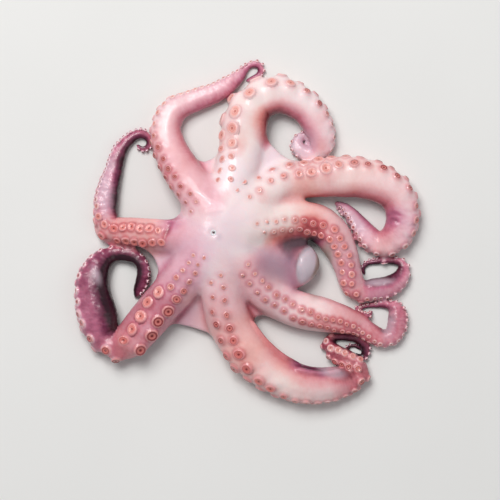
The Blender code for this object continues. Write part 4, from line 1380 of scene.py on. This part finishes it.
def setting_tree():
    """Geometry nodes that set a form on points, by each point's facing and width."""
    tree = bpy.data.node_groups.new("set_on_points", "GeometryNodeTree")
    nodes = Nodes(tree)
    for name, kind in (("Geometry", "Geometry"), ("Form", "Object"), ("Finish", "Material"),
                       ("Unevenness", "Float"), ("Lean", "Float"), ("Seed", "Int")):
        tree.interface.new_socket(name, in_out="INPUT", socket_type="NodeSocket" + kind)
    tree.interface.new_socket("Geometry", in_out="OUTPUT", socket_type="NodeSocketGeometry")
    given = tree.nodes.new("NodeGroupInput").outputs
    points = Link(nodes, given["Geometry"])
    form = nodes.add("GeometryNodeObjectInfo", None, {"Object": Link(nodes, given["Form"])}, "Geometry")
    facing, width, tall = [
        nodes.add("GeometryNodeInputNamedAttribute", {"data_type": kind}, {"Name": name})
        for name, kind in (("facing", "FLOAT_VECTOR"), ("width", "FLOAT"), ("tall", "FLOAT"))]
    upright = nodes.add("FunctionNodeAlignRotationToVector", {"axis": "Z"}, {"Vector": facing})
    seed = Link(nodes, given["Seed"])
    lean = Link(nodes, given["Lean"])
    low = nodes.add("ShaderNodeCombineXYZ", None, {"X": 0.0 - lean, "Y": 0.0 - lean, "Z": 0.0})
    high = nodes.add("ShaderNodeCombineXYZ", None, {"X": lean, "Y": lean, "Z": 2 * math.pi})
    tilt = nodes.add("FunctionNodeRandomValue", {"data_type": "FLOAT_VECTOR"},
                     {"Min": low, "Max": high, "Seed": seed}, "Value")
    tilted = nodes.add("FunctionNodeRotateRotation", {"rotation_space": "LOCAL"},
                       {"Rotation": upright,
                        "Rotate By": nodes.add("FunctionNodeEulerToRotation", None, {"Euler": tilt})})
    uneven = Link(nodes, given["Unevenness"])
    least = nodes.add("ShaderNodeCombineXYZ", None, {"X": 1.0 - uneven, "Y": 1.0, "Z": 1.0 - uneven})
    most = nodes.add("ShaderNodeCombineXYZ", None, {"X": 1.0, "Y": 1.0, "Z": 1.0 + uneven})
    stretch = nodes.add("FunctionNodeRandomValue", {"data_type": "FLOAT_VECTOR"},
                        {"Min": least, "Max": most, "Seed": seed + 1.0}, "Value")
    size = nodes.add("ShaderNodeCombineXYZ", None, {"X": width, "Y": width, "Z": width * tall})
    scale = nodes.add("ShaderNodeVectorMath", {"operation": "MULTIPLY"}, {0: stretch, 1: size})
    placed = nodes.add("GeometryNodeInstanceOnPoints", None,
                       {"Points": points, "Instance": form, "Rotation": tilted, "Scale": scale})
    solid = nodes.add("GeometryNodeRealizeInstances", None, {"Geometry": placed})
    smooth = nodes.add("GeometryNodeSetShadeSmooth", None, {"Geometry": solid})
    finished = nodes.add("GeometryNodeSetMaterial", None,
                         {"Geometry": smooth, "Material": Link(nodes, given["Finish"])})
    nodes.add("NodeGroupOutput", None, {"Geometry": finished})
    return tree


def set_inputs(modifier, values):
    """Sets a Geometry Nodes modifier's inputs, given by their names."""
    for item in modifier.node_group.interface.items_tree:
        if item.in_out == "INPUT" and item.name in values:
            modifier[item.identifier] = values[item.name]


def baked(obj):
    """Replaces an object's mesh by what its modifiers make of it."""
    graph = bpy.context.evaluated_depsgraph_get()
    result = bpy.data.meshes.new_from_object(obj.evaluated_get(graph))
    obj.modifiers.clear()
    obj.data = result
    return obj


def set_suckers(name, suckers, outline, sides, tree, material, traits):
    """One piece of many suckers of one form, set on the skin."""
    mesh = bpy.data.meshes.new(name)
    mesh.from_pydata([tuple(sucker.place * METRES) for sucker in suckers], [], [])
    facing = mesh.attributes.new("facing", "FLOAT_VECTOR", "POINT")
    facing.data.foreach_set("vector", [value for sucker in suckers for value in sucker.outward])
    store(mesh, "width", [sucker.width * METRES for sucker in suckers])
    store(mesh, "tall", [sucker.tall for sucker in suckers])
    for trait in traits[0]:
        store(mesh, trait, [row[trait] for row in traits])
    piece = add_object(name, mesh)
    form = turned_form(name + "_form", outline, sides)
    modifier = piece.modifiers.new("Suckers", "NODES")
    modifier.node_group = tree
    set_inputs(modifier, {"Form": form, "Finish": material, "Unevenness": CUP_UNEVENNESS,
                          "Lean": CUP_LEAN, "Seed": CUP_SEED})
    baked(piece)
    bpy.data.objects.remove(form, do_unlink=True)
    return piece


def sucker_traits(suckers):
    """How ripe, how drawn and how dusky each sucker is, from 0 to 1."""
    rows = []
    for sucker in suckers:
        kind = sucker.kind
        ripe = kind.ripe + UNEVEN_RIPE * noise.noise(sucker.place * RIPE_CHANGE)
        drawn = kind.drawn * (1.0 + UNEVEN_DRAWN * noise.noise(sucker.place * DRAWN_CHANGE))
        values = {"ripe": ripe, "drawn": drawn, "dusk": kind.dusk}
        rows.append({name: min(max(value, 0.0), 1.0) for name, value in values.items()})
    return rows


def melt_into_skin(piece, finished, corners, anatomy):
    """Draws the suckers' roots onto the skin, and gives them what the skin beside them is."""
    mesh = piece.data
    places = corner_places(mesh)
    depth = np.empty(len(places), dtype=np.float32)
    mesh.attributes["depth"].data.foreach_get("value", depth)
    root = (1.0 - smoothstep(0.0, ROOT_END, depth)) * (depth >= 0.0)
    for i in np.flatnonzero(root > 0.0):
        hit, normal, _, _ = finished.find_nearest(places[i])
        places[i] += root[i] * (np.array(hit - normal * ROOT_SINK) - places[i])
    mesh.vertices.foreach_set("co", (places * METRES).ravel())
    mesh.update()
    beside = [corners.find(place)[1] for place in places]
    for name in SKIN_TRAITS:
        store(mesh, name, getattr(anatomy, name)[beside])


def make_lips(height):
    """A puckered ring round the mouth."""
    shape = bmesh.new()
    loops = []
    for i in range(LIP_LOOPS):
        angle = 2 * math.pi * i / LIP_LOOPS
        thick = LIP_THICKNESS * (1.0 + LIP_PUCKER * math.cos(LIP_FOLDS * angle))
        loop = []
        for j in range(LIP_SIDES):
            turn = 2 * math.pi * j / LIP_SIDES
            out = LIP_RADIUS + thick * math.cos(turn)
            up = height + LIP_HEIGHT * thick * math.sin(turn)
            spot = (out * math.cos(angle), out * math.sin(angle), up)
            loop.append(shape.verts.new(Vector(spot) * METRES))
        loops.append(loop)
    join_loops(shape, loops + loops[:1])
    bmesh.ops.recalc_face_normals(shape, faces=shape.faces)
    return finished_piece("mouth_lips", shape)


def make_beak(height):
    """The dark tips of the beak: a wide lower blade and a hooked one that closes into it."""
    shape = bmesh.new()
    for blade in BLADES:
        loops = []
        for i in range(BLADE_LOOPS):
            share = i / (BLADE_LOOPS - 1)
            half = blade.wide * (1.0 - share) ** BLADE_TAPER + BLADE_TIP
            out = blade.long * (1.0 - share) - BLADE_HOOK
            up = height - BLADE_ROOT + blade.tall * math.sin(share * math.pi / 2)
            loop = []
            for j in range(BLADE_SIDES):
                turn = 2 * math.pi * j / BLADE_SIDES
                along = out + BLADE_THICK * half * math.cos(turn)
                side = BLADE_BROAD * half * math.sin(turn)
                x = along * math.cos(blade.heading) - side * math.sin(blade.heading)
                y = along * math.sin(blade.heading) + side * math.cos(blade.heading)
                loop.append(shape.verts.new(Vector((x, y, up)) * METRES))
            loops.append(loop)
        join_loops(shape, loops)
        close_ends(shape, loops)
    bmesh.ops.recalc_face_normals(shape, faces=shape.faces)
    return finished_piece("beak", shape)


def lip_look(nodes, place):
    """Pale lips, greyer in small clouds."""
    cloud = nodes.noise(place, LIP_CLOUDS, detail=2.0)
    return nodes.mix(cloud, shade(250, 246, 244), shade(218, 216, 224)), LIP_FILM


def beak_look(nodes, place):
    """Near black, browner where it wears thin."""
    cloud = nodes.noise(place, BEAK_CLOUDS, detail=2.0)
    return nodes.mix(cloud, shade(14, 10, 12), shade(44, 26, 22)), BEAK_FILM


def keep(piece):
    """Lets a piece ride on the one body."""
    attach(piece, BODY)


def dress(material, piece):
    """Gives a piece its one material."""
    piece.data.materials.clear()
    piece.data.materials.append(material)


def make_floor():
    """A plain pale floor."""
    mesh = bpy.data.meshes.new("floor")
    half = FLOOR_WIDTH / 2
    mesh.from_pydata([(-half, -half, 0), (half, -half, 0), (half, half, 0), (-half, half, 0)], [],
                     [(0, 1, 2, 3)])
    floor = add_object("floor", mesh)
    material, nodes, place = new_material("floor")
    cloud = nodes.noise(place, FLOOR_CLOUDS, detail=2.0)
    colour = nodes.mix(cloud, shade(232, 232, 230), shade(226, 226, 224))
    surface = nodes.add("ShaderNodeBsdfPrincipled", None, {"Base Color": colour, "Roughness": 0.7})
    nodes.add("ShaderNodeOutputMaterial", None, {"Surface": surface})
    dress(material, floor)


def light_scene():
    """The lights, which look at the middle of the animal, and a pale sky."""
    for light in LIGHTS:
        data = bpy.data.lights.new(light.name, "AREA")
        data.shape = "SQUARE"
        data.size = light.size
        data.energy = light.watts
        data.color = light.colour
        lamp = add_object(light.name, data)
        lamp.location = light.place
        aim = Vector((VIEW_X, VIEW_Y, 0.0)) - Vector(light.place)
        lamp.rotation_euler = aim.to_track_quat("-Z", "Y").to_euler()
    world = bpy.data.worlds.new("sky")
    world.use_nodes = True
    nodes = Nodes(world.node_tree)
    sky = nodes.add("ShaderNodeBackground", None,
                    {"Color": shade(236, 238, 242), "Strength": SKY_STRENGTH})
    nodes.add("ShaderNodeOutputWorld", None, {"Surface": sky})
    bpy.context.scene.world = world


def add_camera():
    """A long lens straight above, with the picture's top towards +Y."""
    data = bpy.data.cameras.new("camera")
    data.sensor_width = SENSOR
    data.lens = SENSOR * VIEW_DISTANCE / VIEW_WIDTH
    camera = add_object("camera", data)
    camera.location = (VIEW_X, VIEW_Y, VIEW_Z + VIEW_DISTANCE)
    bpy.context.scene.camera = camera


def add_skin(field, arms, suckers):
    """The skin, which replaces the node, with its anatomy kept on its corners."""
    skin = skin_mesh(*field.surface())
    anatomy = Anatomy(corner_places(skin.data), arms, suckers)
    push_relief(skin, anatomy)
    for name in SKIN_TRAITS:
        store(skin.data, name, getattr(anatomy, name))
    dress(wet_material("wet_skin", skin_look, roughness=0.38, grain=0.35, crinkle=2.4), skin)
    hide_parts(NODE)
    keep(skin)
    return skin, anatomy


def add_suckers(suckers, skin, anatomy):
    """The suckers that stand free on the finished skin: one piece of cups, one of beads."""
    places = corner_places(skin.data)
    finished = surface_tree(places, [tuple(face.vertices) for face in skin.data.polygons])
    corners = tree_of(places)
    free = [sucker for sucker in (seated(sucker, finished) for sucker in suckers) if sucker]
    tree = setting_tree()
    finish = wet_material("wet_sucker", sucker_look, roughness=0.36, grain=0.15)
    large = [sucker for sucker in free if sucker.width >= SMALL_CUP]
    small = [sucker for sucker in free if sucker.width < SMALL_CUP]
    for name, chosen, outline, sides in (("suckers", large, CUP_OUTLINE, CUP_SIDES),
                                         ("small_suckers", small, BEAD_OUTLINE, BEAD_SIDES)):
        traits = sucker_traits(chosen)
        piece = set_suckers(name, chosen, outline, sides, tree, finish, traits)
        melt_into_skin(piece, finished, corners, anatomy)
        keep(piece)


def add_mouth(skin_tree):
    """The lips and the beak, in the dip in the crown's middle."""
    hit, _, _, _ = skin_tree.ray_cast(Vector((0, 0, SKY)), Vector((0, 0, -1)))
    lips = make_lips(hit.z - MOUTH_DIP + LIP_RISE)
    beak = make_beak(hit.z - MOUTH_DIP + BEAK_RISE)
    dress(wet_material("lips", lip_look, roughness=0.35, grain=0.1), lips)
    dress(wet_material("beak", beak_look, roughness=0.25, grain=0.1), beak)
    keep(lips)
    keep(beak)


def make_octopus():
    """All pieces of the animal."""
    arms = {name: Arm(name) for name in ARMS}
    field = flesh_field(arms)
    skin_tree = surface_tree(*field.surface())
    draw = random.Random(CUP_SEED)
    suckers = [sucker for arm in arms.values() for sucker in suckers_on(arm, skin_tree, draw)]
    for sucker in suckers:
        if has_mound(sucker):
            raise_mound(field, sucker)
    for ridge in RIDGES:
        places = ridge_places(ridge, arms[ridge.arm], skin_tree)
        field.add_ridge(places, ridge.thickness / 2)
    skin, anatomy = add_skin(field, arms, suckers)
    add_suckers(suckers, skin, anatomy)
    add_mouth(skin_tree)


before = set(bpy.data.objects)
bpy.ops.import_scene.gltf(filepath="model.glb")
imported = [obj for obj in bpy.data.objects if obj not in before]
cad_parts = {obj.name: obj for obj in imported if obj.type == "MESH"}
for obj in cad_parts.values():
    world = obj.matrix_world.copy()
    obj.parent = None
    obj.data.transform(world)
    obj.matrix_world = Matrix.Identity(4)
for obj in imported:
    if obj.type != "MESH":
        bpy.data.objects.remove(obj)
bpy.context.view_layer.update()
make_octopus()
make_floor()
light_scene()
add_camera()
scene = bpy.context.scene
scene.view_settings.view_transform = "Standard"
